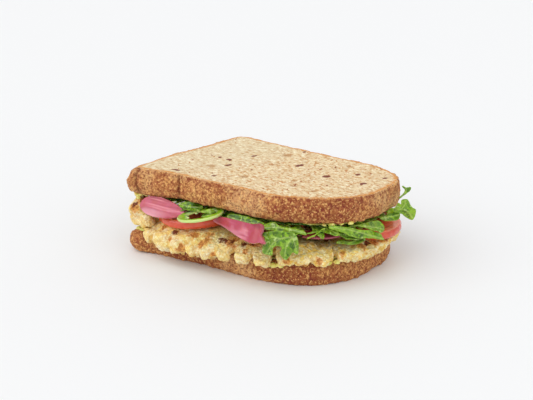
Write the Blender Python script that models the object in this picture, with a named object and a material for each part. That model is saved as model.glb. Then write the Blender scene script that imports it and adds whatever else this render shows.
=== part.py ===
"""A cauliflower and avocado sandwich on sliced wholemeal bread.

Metres, +Z up. The origin is the middle of the flat underside of the lower slice. +X runs
along the slices, from the loaf's flat end to its domed end, and the fillings show most
on the -Y side. Sizes below are in millimetres, and MM turns them into metres.
"""

import math
import random

import bmesh
import bpy
from mathutils import Matrix, Vector, noise

MM = 0.001
GAP = 0.35  # air between two pieces that lie on each other

# The slices of bread
SLICE_LENGTH = 118.4
SLICE_WIDTH = 94.0
DOME_RISE = 4.3
END_TAPER = -0.08
SIDE_HOLLOW = 0.054
FLAT_CORNER_FRONT = 4.0
FLAT_CORNER_BACK = 8.0
DOME_CORNER_FRONT = 43.9
DOME_CORNER_BACK = 29.0
LOWER_THICKNESS = 12.5
UPPER_THICKNESS = 13.5
LOWER_SCALE = 0.973
LOWER_SHIFT = (-2.6, 0.6)
UPPER_TOP = 45.1  # height of the upper slice's top face over the origin
UPPER_ROLL = math.radians(0.76)
UPPER_PITCH = math.radians(-5.15)
END_BULGE = 3.6  # how much further the crust of the loaf's flat end swells
CREASES = ((-53.5, 1.5), (-31.5, 1.1))  # place along the front crust, and depth

# The layers
SPREAD_THICKNESS = 1.5
UPPER_SPREAD_THICKNESS = 1.2
GREENS_THICKNESS = 1.4
STEAK_FLOOR = LOWER_THICKNESS + SPREAD_THICKNESS + 2 * GAP
STEAK_TOP = 20.0
STEAK_DROOP = 2.2
STEAK_RISE = 4.6  # of the thick stem near the front


def slope_height(middle, x, y):
    """Height at (x, y) of a plane that leans as the upper slice does."""
    return middle + x * math.tan(UPPER_ROLL) + y * math.tan(UPPER_PITCH)


def smooth(t):
    """0 below 0, 1 above 1, and a smooth step between."""
    t = min(1.0, max(0.0, t))
    return t * t * (3.0 - 2.0 * t)


def bumps(x, y, size, seed):
    """Smooth unevenness from -1 to 1, with lumps about size mm across."""
    return noise.noise(Vector((x / size, y / size, seed * 7.3)))


def arc(centre_x, centre_y, radius, start, count):
    """A quarter circle's points, anticlockwise from the angle start."""
    angles = [start + 0.5 * math.pi * i / (count - 1) for i in range(count)]
    return [
        (centre_x + radius * math.cos(a), centre_y + radius * math.sin(a))
        for a in angles
    ]


def straight(start, end, count):
    """count points between two points, without the ends."""
    steps = [(i + 1) / (count + 1) for i in range(count)]
    return [
        (start[0] + (end[0] - start[0]) * s, start[1] + (end[1] - start[1]) * s)
        for s in steps
    ]


def slice_outline():
    """The edge of a slice, anticlockwise from the front corner of the loaf's flat end."""
    half = SLICE_WIDTH / 2
    corners = (
        arc(FLAT_CORNER_FRONT, FLAT_CORNER_FRONT - half, FLAT_CORNER_FRONT, -math.pi, 4),
        arc(SLICE_LENGTH - DOME_CORNER_FRONT, DOME_CORNER_FRONT - half,
            DOME_CORNER_FRONT, -0.5 * math.pi, 10),
        arc(SLICE_LENGTH - DOME_CORNER_BACK, half - DOME_CORNER_BACK,
            DOME_CORNER_BACK, 0.0, 7),
        arc(FLAT_CORNER_BACK, half - FLAT_CORNER_BACK, FLAT_CORNER_BACK, 0.5 * math.pi, 4),
    )
    runs = (13, 2, 8, 9)
    points = []
    for i, corner in enumerate(corners):
        points += corner + straight(corner[-1], corners[(i + 1) % 4][0], runs[i])
    shaped = []
    for x, y in points:
        s = x / SLICE_LENGTH
        y *= 1.0 + END_TAPER * (s - 0.5) - SIDE_HOLLOW * 4.0 * s * (1.0 - s)
        x += DOME_RISE * s * s * (1.0 - min(1.0, (2.0 * y / SLICE_WIDTH) ** 2))
        shaped.append((x - SLICE_LENGTH / 2, y))
    return shaped


OUTLINE = slice_outline()


def outward(points):
    """The outward unit normal at each point of a closed anticlockwise line."""
    normals = []
    for i in range(len(points)):
        before, after = points[i - 1], points[(i + 1) % len(points)]
        along = Vector((after[0] - before[0], after[1] - before[1])).normalized()
        normals.append((along.y, -along.x))
    return normals


def grown(points, amounts):
    """A closed line moved outwards by each point's own amount, in mm."""
    return [
        (p[0] + n[0] * a, p[1] + n[1] * a)
        for p, n, a in zip(points, outward(points), amounts)
    ]


def shrunk(points, share):
    """A closed line scaled about the middle of the slice."""
    return [(x * share, y * share) for x, y in points]


def edge_distance(x, y):
    """Distance from (x, y) to the edge of the upper slice, below 0 inside it."""
    nearest, inside = 1e9, False
    for i in range(len(OUTLINE)):
        ax, ay = OUTLINE[i - 1]
        bx, by = OUTLINE[i]
        dx, dy = bx - ax, by - ay
        t = min(1.0, max(0.0, ((x - ax) * dx + (y - ay) * dy) / (dx * dx + dy * dy)))
        nearest = min(nearest, math.hypot(x - ax - t * dx, y - ay - t * dy))
        if (ay > y) != (by > y) and x < ax + dx * (y - ay) / dy:
            inside = not inside
    return -nearest if inside else nearest


def end_swell(x):
    """How far the crust swells out at the loaf's flat end."""
    return END_BULGE * smooth((-48.0 - x) / 7.0)


def bread_underside(x, y):
    """Height of the upper slice's underside."""
    return slope_height(UPPER_TOP - UPPER_THICKNESS, x, y)


def droop(x, y):
    """How far the cauliflower sinks towards its edge and past it."""
    edge = edge_distance(x, y)
    return STEAK_DROOP * smooth((edge + 10.0) / 13.0) + 0.4 * max(0.0, edge + 1.0)


def steak_top(x, y):
    """Height of the seared upper face of the cauliflower."""
    height = STEAK_TOP - 0.02 * y + 0.4 * bumps(x, y, 14.0, 3) - droop(x, y)
    height += STEAK_RISE * math.exp(-((x - 41.0) / 9.0) ** 2 - ((y + 36.0) / 8.0) ** 2)
    corner = smooth((-42.0 - x) / 6.0) * smooth((-10.0 - y) / 8.0)
    return height - 3.0 * corner


def material(name, colour, roughness):
    """A Principled material in the part's colour."""
    made = bpy.data.materials.new(name)
    made.use_nodes = True
    shader = made.node_tree.nodes["Principled BSDF"]
    shader.inputs["Base Color"].default_value = (*colour, 1.0)
    shader.inputs["Roughness"].default_value = roughness
    shader.inputs["Metallic"].default_value = 0.0
    return made


def mesh_object(name, points, faces, finish):
    """An object from points in mm, faces and a material."""
    mesh = bpy.data.meshes.new(name)
    mesh.from_pydata([Vector(p) * MM for p in points], [], faces)
    mesh.materials.append(finish)
    mesh.shade_smooth()
    mesh.set_sharp_from_angle(angle=math.radians(45))
    made = bpy.data.objects.new(name, mesh)
    bpy.context.scene.collection.objects.link(made)
    return made


def stacked_rings(rings, low_middle, high_middle):
    """Points and faces of a closed body from rings of equal length, bottom middle to top middle."""
    count = len(rings[0])
    points = [p for ring in rings for p in ring] + [low_middle, high_middle]
    low, high = len(points) - 2, len(points) - 1
    faces = []
    for i in range(count):
        j = (i + 1) % count
        faces.append((low, j, i))
        for r in range(len(rings) - 1):
            a, b = r * count, (r + 1) * count
            faces.append((a + i, a + j, b + j))
            faces.append((a + i, b + j, b + i))
        last = (len(rings) - 1) * count
        faces.append((high, last + i, last + j))
    return points, faces


def bread_slice(name, thickness, finish, seed, creases=(), flat_base=False):
    """One slice, lying on z = 0: cut faces above and below, and a bulging crust round them."""
    count = len(OUTLINE)
    wobble = []
    for i, (x, y) in enumerate(OUTLINE):
        turn = 2.0 * math.pi * i / count
        amount = 0.45 * math.sin(3 * turn + seed) + 0.3 * math.sin(8 * turn + 2 * seed)
        for place, depth in creases:
            if y < -SLICE_WIDTH / 3 and abs(x - place) < 4.2:
                amount -= depth * (1.0 - abs(x - place) / 4.2)
        wobble.append(amount)
    # each ring: how far out from the edge, share of the thickness
    crust = ((-1.0, 0.0), (0.0, 0.1), (0.7, 0.45), (0.4, 0.8), (-0.6, 1.0))
    relief = 0.45
    rings = []
    for share in (0.5, 0.93):
        ring = shrunk(grown(OUTLINE, wobble), share)
        base = 0.0 if flat_base else 0.3
        rings.append([(x, y, base * bumps(x, y, 30.0, seed)) for x, y in ring])
    for out, level in crust:
        swell = max(0.0, math.sin(math.pi * level)) ** 0.35
        amounts = [w + out + swell * end_swell(p[0]) for w, p in zip(wobble, OUTLINE)]
        ring = grown(OUTLINE, amounts)
        rings.append([
            (x, y, thickness * level + relief * level * bumps(x, y, 26.0, seed + 1))
            for x, y in ring
        ])
    for share in (0.93, 0.5):
        ring = shrunk(grown(OUTLINE, wobble), share)
        rings.append([(x, y, thickness + relief * bumps(x, y, 26.0, seed + 1)) for x, y in ring])
    points, faces = stacked_rings(rings, (0.0, 0.0, 0.0), (0.0, 0.0, thickness))
    return mesh_object(name, points, faces, finish)


def layer(name, finish, line, inset, bottom, top):
    """A spread or a bed of leaves: an uneven sheet between two height functions.

    inset(i) is how far its edge lies inside the line at the line's point i."""
    edge = grown(line, [-inset(i) for i in range(len(line))])
    inner = shrunk(edge, 0.86)
    skirt = grown(edge, [0.5] * len(edge))

    def at(line, level):
        made = []
        for x, y in line:
            low, high = bottom(x, y), top(x, y)
            made.append((x, y, low + (high - low) * level))
        return made

    rings = [at(inner, 0.0), at(edge, 0.0), at(skirt, 0.5), at(edge, 1.0), at(inner, 1.0)]
    low_middle = (0.0, 0.0, bottom(0.0, 0.0))
    high_middle = (0.0, 0.0, top(0.0, 0.0))
    points, faces = stacked_rings(rings, low_middle, high_middle)
    return mesh_object(name, points, faces, finish)


def baked(obj):
    """Swaps an object's mesh for what its modifiers make of it, and removes them."""
    graph = bpy.context.evaluated_depsgraph_get()
    graph.update()
    made = bpy.data.meshes.new_from_object(obj.evaluated_get(graph))
    obj.modifiers.clear()
    old, obj.data = obj.data, made
    bpy.data.meshes.remove(old)
    return obj


def triangle_count(mesh):
    return sum(len(face.vertices) - 2 for face in mesh.polygons)


def ball_cloud(name, balls, finish, voxel, triangles):
    """One closed body grown together from balls (x, y, z, radius, height share)."""
    made = bmesh.new()
    for x, y, z, radius, squat in balls:
        place = Matrix.Translation(Vector((x, y, z)) * MM)
        shape = Matrix.Diagonal((radius * MM, radius * MM, radius * squat * MM, 1.0))
        bmesh.ops.create_icosphere(made, subdivisions=2, radius=1.0, matrix=place @ shape)
    mesh = bpy.data.meshes.new(name)
    made.to_mesh(mesh)
    made.free()
    mesh.materials.append(finish)
    obj = bpy.data.objects.new(name, mesh)
    bpy.context.scene.collection.objects.link(obj)
    remesh = obj.modifiers.new("grown_together", "REMESH")
    remesh.mode = "VOXEL"
    remesh.voxel_size = voxel * MM
    baked(obj)
    fewer = obj.modifiers.new("fewer_faces", "DECIMATE")
    fewer.ratio = min(1.0, triangles / triangle_count(obj.data))
    fewer.use_collapse_triangulate = True
    return baked(obj)


def cut(obj, *cutters):
    """Takes each cutter out of an object."""
    for cutter in cutters:
        step = obj.modifiers.new("cut_" + cutter.name, "BOOLEAN")
        step.operation = "DIFFERENCE"
        step.solver = "EXACT"
        step.object = cutter
    baked(obj)
    made = bmesh.new()
    made.from_mesh(obj.data)
    bmesh.ops.remove_doubles(made, verts=made.verts, dist=0.004 * MM)
    bmesh.ops.dissolve_degenerate(made, edges=made.edges, dist=0.004 * MM)
    bmesh.ops.triangulate(made, faces=made.faces)
    keep_largest(made)
    made.to_mesh(obj.data)
    made.free()
    obj.data.shade_smooth()
    return obj


def keep_largest(made):
    """Drops the scraps that a cut leaves loose."""
    left, parts = set(made.verts), []
    while left:
        part, rim = set(), [left.pop()]
        while rim:
            vert = rim.pop()
            part.add(vert)
            near = {e.other_vert(vert) for e in vert.link_edges} & left
            left -= near
            rim += near
        parts.append(part)
    parts.sort(key=len)
    for part in parts[:-1]:
        bmesh.ops.delete(made, geom=list(part), context="VERTS")


def prism_cutter(name, line, low, high):
    """A hidden upright block with the given outline, for cutting."""
    rings = [[(x, y, low) for x, y in line], [(x, y, high) for x, y in line]]
    middle_x = sum(p[0] for p in line) / len(line)
    middle_y = sum(p[1] for p in line) / len(line)
    points, faces = stacked_rings(
        rings, (middle_x, middle_y, low), (middle_x, middle_y, high)
    )
    return hidden(mesh_object(name, points, faces, CUTTER))


def surface_cutter(name, height, far, steps=26):
    """A hidden block bounded by a height function on one side and the level far on the other."""
    half_x, half_y = 76.0, 64.0
    points, faces = [], []
    for face_of in (height, lambda x, y: far):
        for i in range(steps + 1):
            for j in range(steps + 1):
                x = -half_x + 2 * half_x * i / steps
                y = -half_y + 2 * half_y * j / steps
                points.append((x, y, face_of(x, y)))
    row = steps + 1
    shift = row * row
    for i in range(steps):
        for j in range(steps):
            a = i * row + j
            faces.append((a, a + row, a + row + 1, a + 1))
            faces.append((shift + a, shift + a + 1, shift + a + row + 1, shift + a + row))
    rim = [i * row for i in range(steps + 1)]
    rim += [steps * row + j for j in range(1, row)]
    rim += [i * row + steps for i in range(steps - 1, -1, -1)]
    rim += list(range(steps - 1, 0, -1))
    for k in range(len(rim)):
        a, b = rim[k - 1], rim[k]
        faces.append((b, a, shift + a, shift + b))
    made = mesh_object(name, points, faces, CUTTER)
    form = bmesh.new()
    form.from_mesh(made.data)
    bmesh.ops.recalc_face_normals(form, faces=form.faces)
    form.to_mesh(made.data)
    form.free()
    return hidden(made)


def hidden(obj):
    obj.hide_render = True
    obj.display_type = "WIRE"
    return obj


def curds(x, y, z, radius, draw, count=9):
    """A floret's head: one large ball with smaller ones standing on it."""
    balls = [(x, y, z, radius, 0.92)]
    for i in range(count):
        height = 1.0 - 2.0 * (i + 0.5) / count
        turn = i * math.pi * (3.0 - math.sqrt(5.0)) + draw.uniform(-0.4, 0.4)
        around = math.sqrt(1.0 - height * height)
        size = radius * draw.uniform(0.3, 0.42)
        balls.append((
            x + 0.82 * radius * around * math.cos(turn),
            y + 0.82 * radius * around * math.sin(turn),
            z + 0.82 * radius * height,
            size,
            1.0,
        ))
    return balls


# Where the cuts between the steak's pieces meet
CUT_FRONT, CUT_RIGHT, CUT_LEFT = (27.0, -42.0), (54.0, -26.0), (-80.0, -14.0)
CUT_MIDDLE, CUT_STEM, CUT_INNER, CUT_BACK = (-6.0, -4.0), (31.0, -8.0), (36.0, -9.0), (42.0, 24.0)
FAR_FRONT, FAR_RIGHT, FAR_BACK, FAR_END = (30.0, -70.0), (72.0, -70.0), (-4.0, 70.0), (60.0, 60.0)
CUT_HALF_WIDTH = 0.45
GRAIN = 1.1  # size of the smallest bump kept when balls grow together
FLORET_FACES = 560

# Each piece of the cauliflower steak: the plan outline that its cuts give it, the middle and
# reach of its slab, and the heads along the slice's edge as (x, y, z, radius)
STEAK_PIECES = {
    "cauliflower_front_left": {
        "cell": ((-80.0, -70.0), FAR_FRONT, CUT_FRONT, CUT_STEM, CUT_MIDDLE, CUT_LEFT),
        "middle": (-14.0, -26.0), "reach": (34.0, 15.0), "faces": 1180,
        "heads": ((-50.5, -45.5, 13.0, 4.4), (-46.0, -48.6, 11.6, 4.2), (-41.0, -48.2, 14.5, 5.4),
                  (-37.0, -50.2, 12.0, 5.2), (-27.3, -50.0, 11.6, 4.8), (-17.4, -49.4, 11.8, 4.0),
                  (-7.9, -49.3, 13.0, 4.8), (1.1, -48.6, 14.2, 4.4), (12.7, -47.8, 15.2, 4.4),
                  (24.0, -46.6, 16.2, 4.8), (-52.0, -33.0, 15.0, 6.0)),
    },
    "cauliflower_front_right": {
        "cell": (FAR_FRONT, FAR_RIGHT, CUT_RIGHT, CUT_INNER, CUT_STEM, CUT_FRONT),
        "middle": (40.0, -23.0), "reach": (10.0, 13.0), "faces": 600,
        "heads": ((35.0, -41.0, 17.6, 4.6), (42.3, -37.4, 18.2, 5.0), (50.4, -31.4, 17.2, 4.6),
                  (43.0, -33.5, 21.0, 4.6)),
    },
    "cauliflower_right_end": {
        "cell": (FAR_RIGHT, (90.0, -70.0), (90.0, 60.0), FAR_END, CUT_BACK, CUT_INNER, CUT_RIGHT),
        "middle": (50.0, 4.0), "reach": (10.0, 16.0), "faces": 600,
        "heads": ((56.5, -20.0, 18.0, 4.8), (59.2, -13.2, 15.4, 4.2), (61.0, -4.3, 16.4, 4.8),
                  (61.6, 5.3, 15.8, 4.2), (61.4, 13.0, 16.8, 3.6), (59.5, 21.0, 16.5, 4.8),
                  (54.5, 29.0, 16.0, 4.8)),
    },
    "cauliflower_back_left": {
        "cell": (CUT_LEFT, CUT_MIDDLE, FAR_BACK, (-80.0, 70.0)),
        "middle": (-30.0, 20.0), "reach": (22.0, 20.0), "faces": 600,
        "heads": ((-59.0, -18.0, 15.6, 5.0), (-60.5, -6.0, 16.0, 5.4), (-59.5, 8.0, 15.6, 4.8),
                  (-59.0, 22.0, 16.0, 5.4), (-53.0, 37.0, 15.8, 5.2), (-39.0, 44.5, 15.8, 5.0),
                  (-26.0, 44.5, 15.6, 5.6), (-11.0, 43.5, 16.0, 4.8)),
    },
    "cauliflower_back_right": {
        "cell": (CUT_MIDDLE, CUT_STEM, CUT_INNER, CUT_BACK, FAR_END, FAR_BACK),
        "middle": (17.0, 18.0), "reach": (18.0, 18.0), "faces": 520,
        "heads": ((4.0, 43.0, 15.8, 5.4), (17.0, 42.5, 16.0, 5.0), (30.0, 41.0, 15.6, 5.4),
                  (42.0, 37.0, 16.0, 4.8)),
    },
}
LEFT_FLORET_HEADS = ((-59.6, -44.4, 23.4, 5.0), (-58.8, -44.8, 18.8, 4.4), (-52.0, -46.0, 18.4, 4.2),
                     (-61.0, -37.0, 21.8, 5.2), (-58.4, -42.0, 27.2, 4.6), (-59.6, -28.0, 20.8, 4.8))


def kept_inside(obj, keeper):
    """Keeps only what lies inside the keeper."""
    step = obj.modifiers.new("cell", "BOOLEAN")
    step.operation = "INTERSECT"
    step.solver = "EXACT"
    step.object = keeper
    return baked(obj)


def steak_piece(name, finish, seat, ceiling):
    """A slab of the steak with round heads along the edge of the bread."""
    piece = STEAK_PIECES[name]
    draw = random.Random(name)
    cx, cy = piece["middle"]
    balls = []
    columns, rows = (2 * math.ceil(reach / 9.0) + 1 for reach in piece["reach"])
    for i in range(columns):
        for j in range(rows):
            x = cx + piece["reach"][0] * (2.0 * i / (columns - 1) - 1.0)
            y = cy + piece["reach"][1] * (2.0 * j / (rows - 1) - 1.0)
            if edge_distance(x, y) < -8.0:
                balls.append((x, y, STEAK_FLOOR + 2.0, 9.0, 1.1))
    for x, y, z, radius in piece["heads"]:
        balls += curds(x, y, z, radius, draw)
        inward = Vector((-x, -y)).normalized()
        for step, size in ((4.5, 4.8), (9.0, 7.0)):
            balls.append((x + inward.x * step, y + inward.y * step, STEAK_FLOOR + 2.5, size, 1.2))
    obj = ball_cloud(name, balls, finish, GRAIN, piece["faces"])
    line = grown(piece["cell"], [-CUT_HALF_WIDTH] * len(piece["cell"]))
    cell = prism_cutter("cell_" + name, line, -10.0, 60.0)
    kept_inside(obj, cell)
    return cut(obj, seat, ceiling)


def catmull(points, s):
    """The point at share s of a smooth curve through points."""
    spans = len(points) - 1
    k = min(int(s * spans), spans - 1)
    t = s * spans - k
    p1, p2 = Vector(points[k]), Vector(points[k + 1])
    p0 = Vector(points[k - 1]) if k > 0 else 2 * p1 - p2
    p3 = Vector(points[k + 2]) if k + 2 <= spans else 2 * p2 - p1
    return 0.5 * (
        2 * p1 + (p2 - p0) * t + (2 * p0 - 5 * p1 + 4 * p2 - p3) * t * t
        + (3 * p1 - p0 - 3 * p2 + p3) * t * t * t
    )


def ribbon(name, finish, spine, side, width, thickness, shape, cup=0.0, wave=0.0, along=12, across=4):
    """A thin wavy solid along a spine. Both faces are split into triangles alike.

    side is the direction of its width at each spine point, shape(s, v) is the half
    width's share at s on the edge v = -1 or 1, and cup lifts its edges."""
    upper, lower = [], []
    for i in range(along + 1):
        s = i / along
        here = catmull(spine, s)
        tangent = catmull(spine, min(1.0, s + 0.02)) - catmull(spine, max(0.0, s - 0.02))
        tangent.normalize()
        across_here = catmull(side, s)
        across_here -= tangent * across_here.dot(tangent)
        across_here.normalize()
        face = tangent.cross(across_here)
        for j in range(across + 1):
            v = 2.0 * j / across - 1.0
            half = 0.5 * width * shape(s, v)
            lift = cup * v * v + wave * math.sin(9.0 * s + 2.4 * v)
            point = here + across_here * (half * v) + face * lift
            rim = 0.6 if j in (0, across) or i in (0, along) else 1.0
            upper.append(point + face * (0.5 * thickness * rim))
            lower.append(point - face * (0.5 * thickness * rim))
    row, shift = across + 1, len(upper)
    faces = []
    for i in range(along):
        for j in range(across):
            a, b, c, d = i * row + j, (i + 1) * row + j, (i + 1) * row + j + 1, i * row + j + 1
            faces += [(a, b, c), (a, c, d)]
            faces += [(shift + a, shift + c, shift + b), (shift + a, shift + d, shift + c)]
    rim = [i * row for i in range(along + 1)]
    rim += [along * row + j for j in range(1, row)]
    rim += [i * row + across for i in range(along - 1, -1, -1)]
    rim += list(range(across - 1, 0, -1))
    for k in range(len(rim)):
        a, b = rim[k - 1], rim[k]
        faces += [(b, a, shift + a), (b, shift + a, shift + b)]
    return mesh_object(name, upper + lower, faces, finish)


def oval(s, v):
    """A plain leaf: narrow stalk, full middle, round tip."""
    return 0.16 + 0.84 * math.sin(math.pi * min(1.0, 0.08 + 0.98 * s)) ** 0.75 if s < 0.95 else 0.36


def lance(s, v):
    """A long leaf that tapers to both ends."""
    return 0.12 + 0.88 * math.sin(math.pi * (0.05 + 0.9 * s)) ** 1.3


def lobed(s, v):
    """A rocket leaf: three pairs of deep side lobes and a broad tip."""
    notch = 0.5 + 0.5 * math.cos(2.0 * math.pi * (2.6 * s + (0.12 if v > 0 else 0.0)))
    body = 0.35 + 0.65 * math.sin(math.pi * min(1.0, 0.12 + 0.8 * s))
    return body * (1.0 - 0.5 * notch * (0.15 < s < 0.98))


def hanging(s, v):
    """A rocket leaf seen broadside, its lobes longer on the side that hangs down."""
    return lobed(s, v) * (1.0 if v > 0 else 0.85)


def stalk(s, v):
    """A stem with a slightly thicker root."""
    return 1.0 - 0.35 * s


def petal(s, v):
    """A cut petal of onion: blunt at both ends."""
    return 0.55 + 0.45 * math.sin(math.pi * min(1.0, 0.1 + 0.85 * s)) ** 0.6


def drop(s, v):
    """A petal of onion: round at one end, narrower at the other."""
    return math.sin(math.pi * min(1.0, 0.07 + 0.83 * s)) ** 0.55


def torn(s, v):
    """A strip of onion, thin at its root, that widens to a torn end."""
    end = 1.0 - (0.42 * smooth((s - 0.78) / 0.1) - 0.1) * (v > 0)
    return (0.34 + 0.66 * smooth(s / 0.7)) * end


def forked(s, v):
    """A young leaf with a thin stem and two small lobes at its tip."""
    return 0.2 + 0.9 * smooth((s - 0.55) / 0.25) - 0.35 * smooth((s - 0.9) / 0.1)


# name: spine, side directions, width, shape, cup, wave
LEAVES = {
    "rocket_leaf_left": (
        ((-17.5, -41.8, 32.6), (-24.0, -44.9, 32.9), (-30.5, -45.8, 32.9)),
        ((0.3, -0.8, -0.6), (0.2, -0.8, -0.6), (0.2, -0.8, -0.6)), 4.6, oval, 0.4, 0.2),
    "rocket_leaf_folded": (
        ((-8.6, -43.8, 32.8), (-11.4, -48.6, 33.4), (-16.5, -52.4, 32.4)),
        ((0.5, -0.5, -0.7), (0.4, -0.5, -0.75), (0.4, -0.5, -0.75)), 3.8, petal, 0.5, 0.2),
    "rocket_leaf_middle": (
        ((0.6, -44.8, 33.2), (7.4, -46.4, 33.4), (14.9, -46.2, 33.5), (23.9, -44.7, 33.8)),
        ((0.0, -0.6, -0.8), (0.0, -0.6, -0.8), (0.0, -0.6, -0.8), (0.0, -0.6, -0.8)),
        4.8, lance, 0.6, 0.3),
    "rocket_leaf_hanging": (
        ((45.0, -43.4, 31.8), (38.8, -47.8, 29.8), (32.6, -50.6, 28.2), (27.4, -52.4, 28.2)),
        ((0.2, -0.35, -1.0), (0.2, -0.35, -1.0), (0.1, -0.3, -1.0), (0.0, -0.3, -1.0)),
        17.5, hanging, 0.9, 0.5),
    "rocket_leaf_upper": (
        ((24.0, -44.8, 31.6), (33.6, -42.3, 32.3), (42.5, -38.4, 32.6), (48.5, -35.2, 31.4)),
        ((0.0, -0.8, -0.6), (0.0, -0.8, -0.6), (0.1, -0.8, -0.6), (0.2, -0.8, -0.6)),
        4.8, lance, 0.6, 0.3),
    "rocket_stem": (
        ((51.0, -30.8, 33.2), (49.6, -36.4, 31.6), (47.8, -41.4, 30.9)),
        ((0.6, -0.4, 0.7), (0.6, -0.4, 0.7), (0.6, -0.4, 0.7)), 1.8, stalk, 0.0, 0.0),
    "rocket_leaf_long": (
        ((53.1, -30.2, 33.0), (58.9, -22.6, 31.0), (64.9, -13.8, 27.2), (69.7, -2.8, 22.8)),
        ((0.5, -0.3, -0.8), (0.5, -0.3, -0.8), (0.5, -0.2, -0.8), (0.5, -0.2, -0.8)),
        5.4, lance, 0.6, 0.3),
    "rocket_leaf_under": (
        ((49.6, -30.4, 30.8), (56.0, -23.6, 27.4), (63.6, -16.4, 25.0)),
        ((0.6, -0.4, -0.7), (0.6, -0.4, -0.7), (0.6, -0.3, -0.7)), 4.0, lance, 0.4, 0.2),
    "rocket_leaf_low": (
        ((62.4, -10.4, 22.6), (58.4, -17.6, 23.0), (54.4, -24.0, 24.0)),
        ((0.7, -0.3, -0.6), (0.7, -0.3, -0.6), (0.7, -0.4, -0.6)), 4.4, oval, 0.3, 0.2),
    "rocket_leaf_right": (
        ((59.0, -14.6, 30.6), (63.1, -7.0, 30.7), (67.5, 1.8, 28.4)),
        ((0.7, 0.0, -0.6), (0.75, 0.0, -0.6), (0.8, -0.1, -0.6)), 6.2, oval, 0.5, 0.2),
    "rocket_leaf_end": (
        ((61.6, 3.2, 29.6), (65.8, 9.4, 30.2), (69.2, 14.2, 29.6)),
        ((0.8, -0.2, -0.5), (0.8, -0.2, -0.5), (0.8, -0.2, -0.5)), 5.2, oval, 0.5, 0.2),
    "rocket_leaf_out": (
        ((66.8, 14.4, 31.8), (70.0, 16.2, 35.6), (72.8, 18.6, 32.6), (74.0, 20.4, 27.8)),
        ((0.5, 0.3, 0.8), (0.7, 0.5, 0.5), (0.8, 0.6, 0.2), (0.8, 0.6, 0.1)),
        8.4, oval, 0.8, 0.2),
    "rocket_leaf_tip": (
        ((66.0, 18.2, 33.2), (66.3, 20.2, 38.4), (68.0, 21.6, 43.4)),
        ((0.8, 0.6, 0.0), (0.8, 0.6, 0.0), (0.8, 0.6, 0.0)), 5.2, forked, 0.4, 0.0),
    "rocket_leaf_back": (
        ((12.0, 46.6, 24.8), (2.0, 49.4, 24.0), (-8.0, 51.0, 21.8)),
        ((0.0, 0.9, -0.45), (0.0, 0.9, -0.5), (0.0, 0.9, -0.5)), 9.0, lobed, 0.8, 0.4),
    "rocket_leaf_back_left": (
        ((-30.0, 46.8, 25.0), (-39.0, 49.4, 24.4), (-48.0, 51.6, 22.6)),
        ((0.0, 0.9, -0.4), (0.0, 0.9, -0.45), (0.0, 0.9, -0.5)), 8.0, oval, 0.8, 0.3),
    "rocket_leaf_flat_end": (
        ((-60.4, 2.0, 27.8), (-63.0, 12.0, 27.0), (-65.0, 21.0, 24.8)),
        ((-0.9, 0.0, -0.45), (-0.9, 0.0, -0.45), (-0.9, 0.0, -0.45)), 9.0, lobed, 0.8, 0.4),
}
LEAF_THICKNESS = 0.55

# name: spine, side directions, width, thickness, shape, cup
ONIONS = {
    "pink_onion_left": (
        ((-52.8, -50.8, 28.2), (-46.0, -51.0, 29.0), (-37.5, -50.6, 29.0), (-27.4, -48.4, 27.8)),
        ((0.1, -0.5, -0.86), (0.1, -0.5, -0.86), (0.1, -0.5, -0.86), (0.1, -0.5, -0.86)),
        10.8, 2.2, drop, -0.8),
    "pink_onion_middle": (
        ((-3.4, -47.6, 28.4), (6.2, -50.2, 29.6), (15.8, -52.2, 30.2), (26.8, -53.8, 30.6)),
        ((0.1, -0.5, -0.86), (0.1, -0.5, -0.86), (0.1, -0.5, -0.86), (0.1, -0.5, -0.86)),
        10.4, 2.2, torn, -0.4),
    "pink_onion_right": (
        ((38.0, -31.5, 27.2), (48.0, -24.5, 26.8), (55.5, -13.5, 27.4)),
        ((0.7, -0.6, -0.2), (0.7, -0.6, -0.2), (0.7, -0.6, -0.2)), 7.0, 2.0, petal, -0.4),
    "pink_onion_back": (
        ((20.0, 44.6, 21.8), (31.0, 43.0, 21.8), (42.0, 38.6, 21.8)),
        ((0.0, 1.0, -0.2), (0.1, 1.0, -0.2), (0.3, 0.9, -0.2)), 8.0, 2.0, petal, -0.5),
}

TOMATO_CLEARANCE = 0.8

# name: middle, radius, thickness
TOMATOES = {
    "tomato_left": ((-31.5, -28.5), 21.2, 4.8),
    "tomato_middle": ((10.5, -23.0), 19.6, 4.6),
    "tomato_right": ((47.5, 11.5), 20.6, 4.6),
    "tomato_back": ((-24.0, 25.5), 20.0, 3.2),
}

CHILLI_MIDDLE = (-14.0, -48.4, 30.8)
CHILLI_RADIUS = 12.4
CHILLI_WALL = 2.6
CHILLI_HEIGHT = 3.0
CHILLI_LEAN = math.radians(-12.0)


def tomato_slice(name, finish, segments=26):
    """A round slice that sags over the cauliflower, with the skin bulging at its rim."""
    (cx, cy), radius, thickness = TOMATOES[name]
    draw = random.Random(name)
    phase = draw.uniform(0.0, 6.0)

    def ring(share, level):
        made = []
        for i in range(segments):
            turn = 2.0 * math.pi * i / segments
            reach = radius * share * (1.0 + 0.025 * math.sin(3 * turn + phase))
            x, y = cx + reach * math.cos(turn), cy + reach * math.sin(turn)
            base = steak_top(x, y) + 0.5 * droop(x, y) + TOMATO_CLEARANCE
            made.append((x, y, base + thickness * level))
        return made

    rings = [ring(0.55, 0.03), ring(0.96, 0.0), ring(1.0, 0.3), ring(1.0, 0.7),
             ring(0.955, 1.0), ring(0.55, 0.97)]
    base = steak_top(cx, cy) + TOMATO_CLEARANCE
    points, faces = stacked_rings(rings, (cx, cy, base + 0.2), (cx, cy, base + thickness))
    return mesh_object(name, points, faces, finish)


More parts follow.
